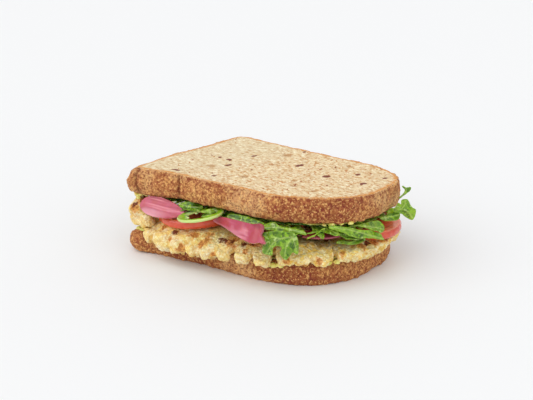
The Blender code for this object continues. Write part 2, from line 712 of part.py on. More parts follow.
def chilli_ring(name, finish, segments=32):
    """A slice of green chilli: a round wall with three ribs of pith standing inwards."""
    inner = CHILLI_RADIUS - CHILLI_WALL
    points, faces = [], []
    lean = Matrix.Rotation(CHILLI_LEAN, 3, "Y")
    half = CHILLI_HEIGHT / 2
    for i in range(segments):
        turn = 2.0 * math.pi * i / segments
        rib = max(0.0, math.cos(3.0 * turn + 0.9)) ** 4
        outer = CHILLI_RADIUS * (1.0 + 0.03 * math.cos(2.0 * turn))
        loop = ((outer - 0.5, -half), (outer, 0.0), (outer - 0.5, half),
                (inner + 0.4 - 2.4 * rib, half - 0.5 * rib), (inner - 2.8 * rib, 0.0),
                (inner + 0.4 - 2.4 * rib, -half + 0.5 * rib))
        for radius, height in loop:
            spot = lean @ Vector((radius * math.cos(turn), radius * math.sin(turn), height))
            points.append(Vector(CHILLI_MIDDLE) + spot)
    width = 6
    for i in range(segments):
        a, b = i * width, ((i + 1) % segments) * width
        for k in range(width):
            n = (k + 1) % width
            faces += [(a + k, b + k, b + n), (a + k, b + n, a + n)]
    return mesh_object(name, points, faces, finish)


def at_lower(line):
    """A line of the upper slice's outline, placed where the lower slice lies."""
    return [
        (x * LOWER_SCALE + LOWER_SHIFT[0], y * LOWER_SCALE + LOWER_SHIFT[1]) for x, y in line
    ]


def edge_push(i, places):
    """How far a spread is pushed out at outline point i, by squeezed spots (x, y, reach, width)."""
    x, y = OUTLINE[i]
    return sum(
        reach * math.exp(-((x - px) ** 2 + (y - py) ** 2) / (width * width))
        for px, py, reach, width in places
    )


def clear_scene():
    for obj in list(bpy.data.objects):
        bpy.data.objects.remove(obj)


clear_scene()
CRUST = material("wholemeal_crust", (0.36, 0.17, 0.07), 0.8)
AVOCADO = material("avocado", (0.55, 0.56, 0.14), 0.5)
CAULIFLOWER = material("roast_cauliflower", (0.82, 0.66, 0.33), 0.6)
TOMATO = material("tomato", (0.72, 0.12, 0.06), 0.3)
ONION = material("pickled_onion", (0.71, 0.2, 0.31), 0.35)
CHILLI = material("green_chilli", (0.3, 0.55, 0.05), 0.3)
LEAF = material("rocket_leaf", (0.1, 0.3, 0.04), 0.45)
CUTTER = material("cutter", (0.5, 0.5, 0.5), 0.5)


def build_bread():
    lower = bread_slice("bread_lower", LOWER_THICKNESS, CRUST, 1, flat_base=True)
    lower.data.transform(Matrix.Diagonal((LOWER_SCALE, LOWER_SCALE, 1.0, 1.0)))
    lower.location = Vector((*LOWER_SHIFT, 0.0)) * MM
    upper = bread_slice("bread_upper", UPPER_THICKNESS, CRUST, 2, creases=CREASES)
    upper.location = Vector((0.0, 0.0, UPPER_TOP - UPPER_THICKNESS)) * MM
    upper.rotation_euler = (UPPER_PITCH, -UPPER_ROLL, 0.0)


def build_layers():
    spots = ((29.0, -43.0, 3.4, 7.0), (55.0, -24.0, 3.2, 5.0), (-46.0, -46.0, 2.4, 5.0))
    layer(
        "avocado_lower", AVOCADO, at_lower(OUTLINE),
        lambda i: 2.6 + 1.0 * math.sin(1.7 * i) - edge_push(i, spots),
        lambda x, y: LOWER_THICKNESS + 0.45 + GAP,
        lambda x, y: LOWER_THICKNESS + 0.45 + GAP + SPREAD_THICKNESS - 0.75,
    )
    smears = ((54.0, -26.0, 3.0, 7.0), (-56.0, -46.0, 2.6, 6.0), (-14.0, -46.0, -6.0, 14.0))
    hollow = ((-14.0, -46.0, -7.0, 15.0), (-60.0, -34.0, -6.0, 16.0))
    roof = lambda x, y: bread_underside(x, y) - 0.5 - GAP
    floor = lambda x, y: roof(x, y) - UPPER_SPREAD_THICKNESS
    layer(
        "avocado_upper", AVOCADO, OUTLINE,
        lambda i: 4.8 + 0.9 * math.sin(2.3 * i) - edge_push(i, smears), floor, roof,
    )
    layer(
        "rocket_bed", LEAF, OUTLINE,
        lambda i: 8.0 + 1.4 * math.sin(1.9 * i) + 1.0 * math.sin(5.1 * i) - edge_push(i, hollow),
        lambda x, y: floor(x, y) - GAP - GREENS_THICKNESS + 0.3 * bumps(x, y, 9.0, 5),
        lambda x, y: floor(x, y) - GAP - 0.3 + 0.25 * bumps(x, y, 9.0, 5),
    )


def build_cauliflower():
    seat_line = grown(at_lower(OUTLINE), [1.9 + end_swell(x) for x, y in OUTLINE])
    seat = prism_cutter("seat", seat_line, -3.0, STEAK_FLOOR)
    ceiling = surface_cutter("ceiling", steak_top, 60.0)
    for name in STEAK_PIECES:
        steak_piece(name, CAULIFLOWER, seat, ceiling)
    draw = random.Random("left floret")
    balls = []
    for x, y, z, radius in LEFT_FLORET_HEADS:
        balls += curds(x, y, z, radius, draw)
    floret = ball_cloud("cauliflower_floret_left", balls, CAULIFLOWER, GRAIN, FLORET_FACES)
    step = surface_cutter("step", lambda x, y: steak_top(x, y) + GAP, -20.0)
    (tx, ty), radius, _ = TOMATOES["tomato_left"]
    turns = [2.0 * math.pi * i / 40 for i in range(40)]
    round_line = [
        (tx + (radius + 1.2) * math.cos(t), ty + (radius + 1.2) * math.sin(t)) for t in turns
    ]
    wedge = prism_cutter("beside_tomato", round_line, 0.0, 60.0)
    behind_onion = [(-56.0, -60.0), (-30.0, -60.0), (-30.0, -46.6), (-54.0, -46.6)]
    shelf = prism_cutter("beside_onion", behind_onion, 23.0, 60.0)
    roof = surface_cutter("roof", lambda x, y: bread_underside(x, y) - 2.8, 60.0)
    cut(floret, step, wedge, shelf, roof)
    for helper in [o for o in bpy.data.objects if o.hide_render]:
        bpy.data.objects.remove(helper)


def build_toppings():
    for name in TOMATOES:
        tomato_slice(name, TOMATO)
    for name, (spine, side, width, thickness, shape, cup) in ONIONS.items():
        ribbon(name, ONION, spine, side, width, thickness, shape, cup, 0.0, 9, 4)
    chilli_ring("chilli_ring", CHILLI)
    for name, (spine, side, width, shape, cup, wave) in LEAVES.items():
        across = 2 if shape is stalk else 4
        along = 16 if shape is lobed else 9
        ribbon(name, LEAF, spine, side, width, LEAF_THICKNESS, shape, cup, wave, along, across)


build_bread()
build_layers()
build_cauliflower()
build_toppings()
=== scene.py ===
"""The looks of a cauliflower and avocado sandwich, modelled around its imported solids.

Lengths and places are in millimetres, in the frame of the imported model, and MM turns them
into metres where a mesh is written. Colours are given as they look on a screen, 0 to 255.
"""

import itertools
import math
import random

import bpy
import numpy as np
from bpy.props import FloatProperty, FloatVectorProperty, IntProperty, PointerProperty
from mathutils import Matrix, Vector, geometry
from mathutils.bvhtree import BVHTree
from mathutils.kdtree import KDTree


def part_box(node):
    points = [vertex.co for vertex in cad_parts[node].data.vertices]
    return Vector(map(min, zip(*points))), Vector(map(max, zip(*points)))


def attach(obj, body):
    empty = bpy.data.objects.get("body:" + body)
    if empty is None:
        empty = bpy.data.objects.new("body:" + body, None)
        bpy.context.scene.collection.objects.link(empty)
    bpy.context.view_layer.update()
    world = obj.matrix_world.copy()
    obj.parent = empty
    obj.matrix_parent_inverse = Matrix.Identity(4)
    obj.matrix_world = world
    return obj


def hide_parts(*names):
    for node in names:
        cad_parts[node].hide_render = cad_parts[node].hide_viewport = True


bl_info = {
    "name": "Cauliflower Sandwich Looks",
    "version": (1, 0, 0),
    "blender": (4, 5, 0),
    "location": "View3D > Sidebar > Sandwich",
    "description": "Crumb and crust, roast curds, wet vegetables and leaves round the packed solids",
    "category": "Object",
}

MM = 0.001
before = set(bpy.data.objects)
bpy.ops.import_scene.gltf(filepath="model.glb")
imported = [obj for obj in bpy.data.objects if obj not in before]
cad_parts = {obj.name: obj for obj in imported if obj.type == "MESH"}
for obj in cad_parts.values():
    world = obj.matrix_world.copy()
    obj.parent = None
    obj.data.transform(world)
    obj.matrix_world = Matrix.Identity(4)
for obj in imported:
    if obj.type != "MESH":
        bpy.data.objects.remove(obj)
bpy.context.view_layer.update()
FAR = 99.0  # further than anything that is looked for, in millimetres
MERGE_DISTANCE = 0.01


def rgb(red, green, blue):
    """A colour as it looks on a screen, made linear for the shaders."""
    shares = (red / 255.0, green / 255.0, blue / 255.0)
    return tuple(s / 12.92 if s <= 0.04045 else ((s + 0.055) / 1.055) ** 2.4 for s in shares)


def colour_choice(name, description, shade):
    return FloatVectorProperty(
        name=name, description=description, subtype="COLOR", size=3, min=0.0, max=1.0, default=shade
    )


def length_choice(name, description, size):
    return FloatProperty(
        name=name, description=description, default=size * MM, min=0.0, unit="LENGTH", precision=5
    )


def count_choice(name, description, count):
    return IntProperty(name=name, description=description, default=count, min=0)


class SandwichLooks(bpy.types.PropertyGroup):
    """What a user would change: the colours of the foods and the depth of their relief."""

    crumb: colour_choice("Crumb", "The cut face of the bread", rgb(244, 220, 174))
    crust: colour_choice("Crust", "The baked outside of the bread", rgb(216, 156, 92))
    bran: colour_choice("Bran", "Flecks of bran in the crumb", rgb(120, 44, 36))
    curd: colour_choice("Curd", "Cauliflower that isn't browned", rgb(254, 236, 160))
    sear: colour_choice("Sear", "Cauliflower browned in the pan", rgb(170, 96, 36))
    avocado: colour_choice("Avocado", "The mashed avocado", rgb(220, 214, 96))
    tomato_skin: colour_choice("Tomato skin", "The skin of the tomato", rgb(208, 62, 38))
    tomato_flesh: colour_choice("Tomato flesh", "The cut flesh of the tomato", rgb(230, 112, 72))
    onion: colour_choice("Onion", "The pickled onion", rgb(198, 76, 108))
    chilli: colour_choice("Chilli", "The wall of the green chilli", rgb(132, 186, 30))
    leaf: colour_choice("Leaf", "The upper side of a rocket leaf", rgb(72, 128, 8))
    pore_depth: length_choice("Pore depth", "How deep the crumb's pores are", 0.5)
    crust_relief: length_choice("Crust relief", "How uneven the crust is", 0.45)
    curd_relief: length_choice("Curd relief", "How far the small curds stand out", 0.5)
    bran_flakes: count_choice("Bran flakes", "Bran flakes scattered over each slice", 110)
    small_leaves: count_choice("Small leaves", "Leaves in the layer under the upper slice", 46)


def in_mm(length):
    return length / MM


# Numbers that vary over space

def hashed(grid, seed, channel):
    """Repeatable numbers from 0 to 1 for places with whole numbers."""
    mixed = grid[:, 0] * 73856093 ^ grid[:, 1] * 19349663 ^ grid[:, 2] * 83492791
    mixed = mixed ^ (seed * 26544357 + channel * 9753173)
    mixed = (mixed ^ (mixed >> 13)) * 1274126177
    mixed = (mixed ^ (mixed >> 16)) * 668265263
    mixed = mixed ^ (mixed >> 15)
    return (mixed & 0xFFFFFF) / float(0x1000000)


def lumps(points, size, seed):
    """Smooth unevenness from -1 to 1, with lumps about size mm across."""
    place = points / size
    base = np.floor(place).astype(np.int64)
    part = place - base
    part = part * part * (3.0 - 2.0 * part)
    total = np.zeros(len(points))
    for corner in itertools.product((0, 1), repeat=3):
        weight = np.ones(len(points))
        for axis, side in enumerate(corner):
            weight = weight * (part[:, axis] if side else 1.0 - part[:, axis])
        total += weight * hashed(base + np.array(corner), seed, 0)
    return 2.0 * total - 1.0


def cells(points, size, seed):
    """Distance to the nearest of scattered grains size mm apart, as a share of size, and its number."""
    place = points / size
    base = np.floor(place).astype(np.int64)
    nearest = np.full(len(points), FAR)
    number = np.zeros(len(points))
    for corner in itertools.product((-1, 0, 1), repeat=3):
        cell = base + np.array(corner)
        grain = cell + np.stack([hashed(cell, seed, c) for c in (1, 2, 3)], axis=1)
        distance = np.linalg.norm(place - grain, axis=1)
        closer = distance < nearest
        nearest = np.where(closer, distance, nearest)
        number = np.where(closer, hashed(cell, seed, 4), number)
    return nearest, number


def ease(values, low, high):
    """0 at low, 1 at high, smooth between; high may be below low."""
    t = np.clip((values - low) / (high - low), 0.0, 1.0)
    return t * t * (3.0 - 2.0 * t)


def near(points, spots):
    """How much each point lies in one of some ragged soft spots (x, y, z, radius), 0 to 1."""
    total = np.zeros(len(points))
    ragged = 0.4 * lumps(points, 2.6, 901) + 0.3 * lumps(points, 1.1, 902)
    for x, y, z, radius in spots:
        distance = np.linalg.norm(points - np.array((x, y, z)), axis=1) / radius
        total = np.maximum(total, ease(distance + ragged, 1.35, 0.25))
    return total


def room_round(points, node_names):
    """Distance from each point to the nearest of some CAD nodes."""
    room = np.full(len(points), FAR)
    for node in node_names:
        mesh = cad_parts[node].data
        corners = [v.co / MM for v in mesh.vertices]
        tree = BVHTree.FromPolygons(corners, [p.vertices[:] for p in mesh.polygons])
        for i, point in enumerate(points):
            found = tree.find_nearest(point, room[i])
            if found[3] is not None:
                room[i] = found[3]
    return room


def plane_through(points):
    """The slopes along x and y of a plane fitted to points, and its height at the origin."""
    rows = np.column_stack([points[:, :2], np.ones(len(points))])
    return np.linalg.lstsq(rows, points[:, 2], rcond=None)[0]


def own_axes(points, step):
    """The middle of some points and their long, middle and short axes, from every step-th point."""
    middle = points.mean(axis=0)
    return middle, np.linalg.svd((points - middle)[::step], full_matrices=False)[2]


def box_of(node):
    """The middle of a CAD node's box and half its size along each axis."""
    low, high = (np.array(corner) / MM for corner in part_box(node))
    return 0.5 * (low + high), 0.5 * (high - low)


# Meshes

def points_of(obj):
    flat = np.empty(3 * len(obj.data.vertices), np.float32)
    obj.data.vertices.foreach_get("co", flat)
    return flat.reshape(-1, 3).astype(float) / MM


def normals_of(obj):
    flat = np.empty(3 * len(obj.data.vertices), np.float32)
    obj.data.vertex_normals.foreach_get("vector", flat)
    return flat.reshape(-1, 3).astype(float)


def move_points(obj, points):
    obj.data.vertices.foreach_set("co", (points * MM).astype(np.float32).ravel())
    obj.data.update()


def push(obj, points, normals, move):
    """Moves each point of a mesh along its normal."""
    move_points(obj, points + normals * move[:, None])


def store(obj, **numbers):
    """Keeps named numbers, one for each point of the mesh or one for all, for a material to read."""
    for name, values in numbers.items():
        attribute = obj.data.attributes.new(name, "FLOAT", "POINT")
        attribute.data.foreach_set("value", np.full(len(obj.data.vertices), values, np.float32))


def select_only(*objs):
    bpy.ops.object.select_all(action="DESELECT")
    for obj in objs:
        obj.select_set(True)
    bpy.context.view_layer.objects.active = objs[0]


def apply_all(obj):
    select_only(obj)
    for modifier in list(obj.modifiers):
        bpy.ops.object.modifier_apply(modifier=modifier.name)


def shade_smooth(obj):
    select_only(obj)
    bpy.ops.object.shade_smooth()


def link(name, mesh):
    made = bpy.data.objects.new(name, mesh)
    bpy.context.scene.collection.objects.link(made)
    return made


def thicken(obj, thickness):
    """Gives a sheet its thickness, half of it on each side."""
    solid = obj.modifiers.new("thickness", "SOLIDIFY")
    solid.thickness = thickness * MM
    solid.offset = 0.0
    apply_all(obj)


def grown_skin(obj, voxel, smoothing):
    """One even skin of small faces over a closed body."""
    remesh = obj.modifiers.new("even_faces", "REMESH")
    remesh.mode = "VOXEL"
    remesh.voxel_size = voxel * MM
    if smoothing:
        soft = obj.modifiers.new("soft_corners", "SMOOTH")
        soft.factor = 0.5
        soft.iterations = smoothing
    apply_all(obj)
    shade_smooth(obj)
    return obj


def merged_copy(node, name, voxel, smoothing=4):
    """A copy of a CAD node with its loose triangles merged, under one even skin."""
    made = link(name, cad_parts[node].data.copy())
    made.data.materials.clear()
    select_only(made)
    bpy.ops.object.mode_set(mode="EDIT")
    bpy.ops.mesh.select_all(action="SELECT")
    bpy.ops.mesh.remove_doubles(threshold=MERGE_DISTANCE * MM)
    bpy.ops.object.mode_set(mode="OBJECT")
    return grown_skin(made, voxel, smoothing)


def lumpy_ball(place, radius, subdivisions, spread, size, seed):
    """A ball round a place, spread along each axis, with lumps of some size."""
    bpy.ops.object.select_all(action="DESELECT")
    bpy.ops.mesh.primitive_ico_sphere_add(
        subdivisions=subdivisions, radius=radius * MM, location=tuple(place * MM)
    )
    ball = bpy.context.object
    bpy.ops.object.transform_apply(location=True, rotation=False, scale=False)
    shape = place + np.array(spread) * (points_of(ball) - place)
    push(ball, shape, normals_of(ball), 0.4 * radius * lumps(shape, size, seed))
    return ball


def joined(name, objs):
    select_only(*objs)
    bpy.ops.object.join()
    made = bpy.context.view_layer.objects.active
    made.name = name
    made.data.name = name
    return made


def placed(obj, finish, slot, *nodes):
    """Gives a finished piece its material, its body and the nodes it stands for; the slot is not used."""
    obj.data.materials.clear()
    obj.data.materials.append(finish.material)
    if nodes:
        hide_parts(*nodes)
    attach(obj, "root")


# Shader expressions

class Wire:
    """A shader socket that adds Math nodes when it is used in an expression."""

    def __init__(self, finish, socket):
        self.finish = finish
        self.socket = socket

    def math(self, operation, first, second):
        return self.finish.add("ShaderNodeMath", {"operation": operation}, {0: first, 1: second})

    def __add__(self, other):
        return self.math("ADD", self, other)

    def __radd__(self, other):
        return self.math("ADD", other, self)

    def __sub__(self, other):
        return self.math("SUBTRACT", self, other)

    def __rsub__(self, other):
        return self.math("SUBTRACT", other, self)

    def __mul__(self, other):
        return self.math("MULTIPLY", self, other)

    def __rmul__(self, other):
        return self.math("MULTIPLY", other, self)

    def between(self, low, high):
        """0 at low, 1 at high, smooth between."""
        return self.finish.add(
            "ShaderNodeMapRange",
            {"interpolation_type": "SMOOTHSTEP"},
            {"Value": self, "From Min": low, "From Max": high},
        )


class Finish:
    """One material. Its nodes are added by calls on it."""

    def __init__(self, name, roughness, **constants):
        self.material = bpy.data.materials.new(name)
        self.material.use_nodes = True
        self.tree = self.material.node_tree
        self.shader = self.tree.nodes["Principled BSDF"]
        self.set(Roughness=roughness, **constants)
        self.place = self.add("ShaderNodeTexCoord", output="Object")

    def add(self, kind, settings=None, sockets=None, output=0):
        """Any node: its type, its settings, and the values or links of its sockets."""
        node = self.tree.nodes.new(kind)
        for key, value in (settings or {}).items():
            setattr(node, key, value)
        for key, value in (sockets or {}).items():
            self.feed(node.inputs[key], value)
        return Wire(self, node.outputs[output])

    def feed(self, socket, value):
        if isinstance(value, Wire):
            self.tree.links.new(value.socket, socket)
        elif socket.type == "RGBA":
            socket.default_value = (*value, 1.0)[:4]
        else:
            socket.default_value = value

    def set(self, **sockets):
        for socket, value in sockets.items():
            self.feed(self.shader.inputs[socket.replace("_", " ")], value)

    def stored(self, name):
        return self.add("ShaderNodeAttribute", {"attribute_name": name}, output="Fac")

    def stretched(self, x, y, z):
        """Object coordinates scaled by x, y and z, in counts per millimetre."""
        scale = (x / MM, y / MM, z / MM)
        return self.add("ShaderNodeMapping", None, {"Vector": self.place, "Scale": scale})

    def noise(self, size, detail=3.0, rough=0.55, place=None):
        sockets = {"Vector": place or self.place, "Detail": detail, "Roughness": rough}
        sockets["Scale"] = 1.0 if place else 1.0 / (size * MM)
        return self.add("ShaderNodeTexNoise", None, sockets)

    def grains(self, size):
        sockets = {"Vector": self.place, "Scale": 1.0 / (size * MM)}
        return self.add("ShaderNodeTexVoronoi", None, sockets, "Distance")

    def mixed(self, share, low, high):
        return self.add("ShaderNodeMix", {"data_type": "RGBA"}, {0: share, 6: low, 7: high}, 2)

    def layered(self, shade, *layers):
        """Lays colours over a shade, each with its share of the surface."""
        for share, colour in layers:
            shade = self.mixed(share, shade, colour)
        return shade

    def bump(self, height, depth, strength=1.0, under=None):
        """A normal from a height of 0 to 1 over depth mm."""
        sockets = {"Height": height, "Distance": depth * MM, "Strength": strength}
        if under:
            sockets["Normal"] = under
        return self.add("ShaderNodeBump", None, sockets)


# The bread

# How level a face is where crumb begins and where crust ends, as cosines
CRUMB_LEVEL = 0.985
CRUST_LEVEL = 0.9
BREAD_VOXEL = 0.62
PORE_SPACING = 1.7
WIDE_PORE_SPACING = 5.2
CRUST_GRAIN_SPACING = 1.5


def face_level(points, normals, side):
    """Height of a slice's upper (side 1) or lower (side -1) cut face over each point."""
    slope = plane_through(points[normals[:, 2] * side > 0.97])
    return points[:, 0] * slope[0] + points[:, 1] * slope[1] + slope[2]


def distance_to(points, targets, chosen):
    """Distance from each chosen point to the nearest target, 0 for the others."""
    tree = KDTree(len(targets))
    for i, target in enumerate(targets):
        tree.insert(target, i)
    tree.balance()
    distance = np.zeros(len(points))
    for i in np.nonzero(chosen)[0]:
        distance[i] = tree.find(points[i])[2]
    return distance


def bread_finish(looks):
    """Crumb with pores and flecks, an orange rim, and a mottled crust; pores and crust creases get painted
    shade.
    """
    made = Finish("baked_wholemeal", 0.85, Specular_IOR_Level=0.25)
    crust, rim, pit, dark, warm = map(made.stored, ("crust", "rim", "pit", "dark", "warm"))
    fine = made.noise(0.9, 4.0, 0.6)
    streaks = made.noise(1.0, 3.0, 0.6, made.stretched(0.4, 0.6, 0.9))
    specks = made.noise(1.0, 2.0, 0.5, made.stretched(0.5, 0.8, 1.1))
    wrinkles = made.noise(1.0, 4.0, 0.62, made.stretched(0.62, 0.62, 0.36))
    stain = (made.stored("stain") + 0.8 * made.noise(0.9) - 0.4).between(0.28, 0.56)
    ring = rim.between(3.2, 0.9) * made.noise(2.4).between(0.2, 0.46)
    maroon = made.noise(2.4).between(0.54, 0.64) * (0.25 + 0.45 * dark.between(-0.4, 0.8))
    cracks = made.stored("lip") * made.noise(2.6).between(0.48, 0.6)
    crumb = made.layered(
        rgb(234, 208, 166),
        (made.noise(6.0).between(0.3, 0.7), looks.crumb),
        (0.5 - 0.35 * warm, rgb(222, 210, 176)),
        (streaks.between(0.52, 0.64) * 0.6, rgb(200, 156, 102)),
        (streaks.between(0.47, 0.37) * 0.8, rgb(255, 246, 216)),
        (specks.between(0.57, 0.62) * (0.25 + 0.6 * warm), rgb(198, 126, 58)),
        (fine.between(0.58, 0.7) * 0.5, rgb(156, 104, 62)),
        # painted shade: the pores are darkened
        (pit * 0.7, rgb(176, 120, 66)),
        (stain * 0.9, looks.bran),
        (ring * 0.9, rgb(216, 140, 58)),
    )
    baked = made.layered(
        looks.crust,
        (wrinkles.between(0.4, 0.6), rgb(162, 100, 56)),
        (dark.between(0.0, 1.0) * 0.72, rgb(146, 72, 42)),
        (dark.between(0.0, -1.0) * 0.7, rgb(228, 186, 130)),
        (made.noise(3.2, 2.0).between(0.42, 0.56) * 0.4, rgb(176, 98, 64)),
        (maroon, rgb(126, 50, 44)),
        (made.noise(1.1, 4.0, 0.65).between(0.5, 0.6) * 0.78, rgb(120, 50, 32)),
        (made.noise(1.2, 4.0, 0.65).between(0.47, 0.38) * 0.75, rgb(242, 190, 118)),
        # painted shade: the creases are darkened
        (made.stored("crease") * 0.8, rgb(100, 44, 26)),
        (cracks * 0.7, rgb(126, 52, 30)),
    )
    relief = made.bump(made.mixed(crust, fine, wrinkles), 0.5, 0.6)
    normal = made.bump(made.noise(0.45, 3.0, 0.6), 0.15, 0.5, relief)
    made.set(Base_Color=made.mixed(crust, crumb, baked), Normal=normal)
    return made


def slump_corner(points, level):
    """Lets the upper slice's front left corner sag and spread a little at its lower edge."""
    corner = ease(points[:, 1], -18.0, -42.0)
    points[:, 2] -= 1.7 * corner * ease(points[:, 0], -26.0, -56.0) * ease(level, 0.8, 0.1)
    points[:, 0] -= 2.0 * corner * ease(points[:, 0], -50.0, -61.0) * ease(level, 0.75, 0.3)


def top_marks(points, level, places):
    """How much each point lies in one of some soft marks (x, y, size along each) in the upper face."""
    marks = np.zeros(len(points))
    for x, y, wide, deep in places:
        share = np.hypot((points[:, 0] - x) / wide, (points[:, 1] - y) / deep)
        marks = np.maximum(marks, ease(share, 0.75, 0.3) * ease(level, 0.8, 0.9))
    return marks


def dress_slice(node, name, looks, seed, pale_places, redness):
    """One slice: pores in the crumb, wrinkles and mottling in the crust."""
    made = merged_copy(node, name, BREAD_VOXEL)
    points, normals = points_of(made), normals_of(made)
    x, y, z = points.T
    is_upper = name == "upper_slice"
    high, low = face_level(points, normals, 1), face_level(points, normals, -1)
    level = (z - low) / (high - low)
    crust = ease(np.abs(normals[:, 2]), CRUMB_LEVEL, CRUST_LEVEL)
    crust = np.maximum(crust, ease(np.abs(level - 0.5), 0.47, 0.4))
    rim = distance_to(points, points[crust > 0.5][::3], crust < 0.5)
    flat = np.array((0.75, 1.0, 1.0))
    # pit: how much each point lies in a pore; it dents the crumb, and the finish darkens it as painted shade
    small, number = cells(points * flat, PORE_SPACING, seed)
    pit = ease(small, 0.42, 0.12) * (number < 0.42)
    large, number = cells(points * flat, WIDE_PORE_SPACING, seed + 1)
    pit = np.maximum(pit, 1.4 * ease(large, 0.26, 0.08) * (number < 0.3))
    pit *= ease(rim, 0.6, 2.0) * (1.0 - crust)
    # crease: creases down the upper crust, dented here and darkened in the finish as painted shade
    crease = np.zeros(len(points))
    if is_upper:
        pit = np.maximum(pit, top_marks(points, level, LARGE_PORES))
        for place, lean, wide in CREASES:
            line = place + lean * (z - CREASE_HEIGHT) + 0.6 * lumps(points, 4.0, seed + 12)
            crease = np.maximum(crease, np.exp(-((x - line) / wide) ** 2))
        crease *= crust * ease(y, -36.0, -41.0) * ease(lumps(points, 3.0, seed + 13), -1.0, -0.1)
    crumb_relief = 0.16 * lumps(points, 2.4, seed + 2) + 0.12 * lumps(points, 1.0, seed + 3)
    crumb_relief -= in_mm(looks.pore_depth) * pit
    crust_relief = lumps(points, 4.2, seed + 4) + 0.6 * lumps(points, 1.6, seed + 5)
    grain, number = cells(points, CRUST_GRAIN_SPACING, seed + 6)
    crust_relief += 0.7 * ease(grain, 0.5, 0.1) * (number < 0.4)
    ragged = ease(level, 0.2, 0.02) * lumps(points, 2.2, seed + 7)
    crust_relief = in_mm(looks.crust_relief) * (crust_relief + 0.9 * ragged)
    move = crumb_relief * (1.0 - crust) + crust_relief * crust - CREASE_DEPTH * crease
    shape = points + normals * move[:, None]
    if is_upper:
        slump_corner(shape, level)
    move_points(made, shape)
    dark = redness(points, level) + 0.7 * lumps(points, 7.0, seed + 8)
    dark -= 1.3 * near(points, pale_places)
    store(
        made, crust=crust, rim=rim + 4.0 * (crust > 0.5), pit=np.clip(pit, 0.0, 1.0),
        dark=np.clip(dark, -1.0, 1.0), crease=crease,
        stain=top_marks(points, level, BRAN_STAINS if is_upper else ()),
        lip=crust * ease(level, 0.8, 0.88) * ease(level, 1.0, 0.93),
        warm=ease(x + 16.0 * lumps(points, 13.0, seed + 9), -40.0, 0.0),
    )
    return made


# Where the crust is paler than round it: x, y, z, radius
UPPER_PALE = ((15.0, -44.4, 42.0, 10.0), (6.0, -44.2, 38.0, 8.0))
LOWER_PALE = ((10.0, -43.4, 5.7, 9.0), (-2.0, -44.4, 6.0, 6.0))

# Bran pressed flat into the upper cut face: x, y, size along x and along y
BRAN_STAINS = (
    (-38.6, -37.5, 5.0, 2.8), (-17.1, -32.5, 1.9, 3.8), (-24.6, -10.1, 2.6, 4.8), (-37.5, -0.1, 1.6, 2.6),
    (-31.1, -0.7, 3.2, 2.8), (-25.7, 15.4, 2.1, 4.0), (4.2, 16.0, 3.0, 6.4), (26.9, 7.5, 3.2, 5.2),
    (37.1, 22.7, 2.3, 3.6), (49.0, 9.0, 3.0, 4.2), (51.9, 26.2, 1.6, 3.8), (-10.2, 41.8, 1.6, 2.6),
)

# Large pores in the upper cut face, in the same way, dented and darkened with painted shade
LARGE_PORES = (
    (-5.1, -21.9, 3.8, 5.0), (24.1, -19.1, 4.2, 3.6), (37.5, -19.7, 2.6, 4.0), (-30.7, -16.6, 4.4, 4.2),
    (-13.5, 30.5, 4.2, 6.4), (18.9, -10.7, 3.0, 3.4), (-7.7, 7.6, 2.4, 3.4), (25.4, 33.6, 3.0, 4.4),
)

# Creases down the front of the upper crust, dented and darkened with painted shade: x at their middle, how
# they lean, and their width
CREASES = ((-55.0, -0.22, 0.7), (-31.5, -0.12, 0.55))
CREASE_HEIGHT = 42.0
CREASE_DEPTH = 0.9


def scattered_flakes(name, target, looks, draw):
    """Small flat bran flakes pressed into a slice all over."""
    points, normals = points_of(target), normals_of(target)
    flakes = []
    for _ in range(looks.bran_flakes):
        i = draw.randrange(len(points))
        length = draw.uniform(0.6, 1.7)
        width, turn = length * draw.uniform(0.4, 0.8), draw.uniform(0.0, math.pi)
        bpy.ops.object.select_all(action="DESELECT")
        bpy.ops.mesh.primitive_uv_sphere_add(segments=8, ring_count=5, radius=0.5 * MM)
        flake = bpy.context.object
        up = Vector(normals[i])
        basis = Vector((0.0, 0.0, 1.0)).rotation_difference(up).to_matrix().to_4x4()
        spread = Matrix.Diagonal((length, width, 0.7, 1.0))
        place = Matrix.Translation((Vector(points[i]) + up * 0.1) * MM)
        flake.data.transform(place @ basis @ Matrix.Rotation(turn, 4, "Z") @ spread)
        shape = points_of(flake)
        shape += 0.16 * min(length, 2.0) * lumps(shape, 0.6, 40)[:, None] * np.array((1.0, 1.0, 0.4))
        move_points(flake, shape)
        store(flake, deep=draw.uniform(0.0, 0.9) ** 2)
        flakes.append(flake)
    made = joined(name, flakes)
    shade_smooth(made)
    return made


def bran_finish(looks):
    made = Finish("bran", 0.7)
    shade = made.layered(looks.bran, (made.noise(1.2).between(0.35, 0.65), rgb(150, 66, 48)))
    made.set(Base_Color=made.mixed(made.stored("deep"), rgb(196, 136, 84), shade))
    return made


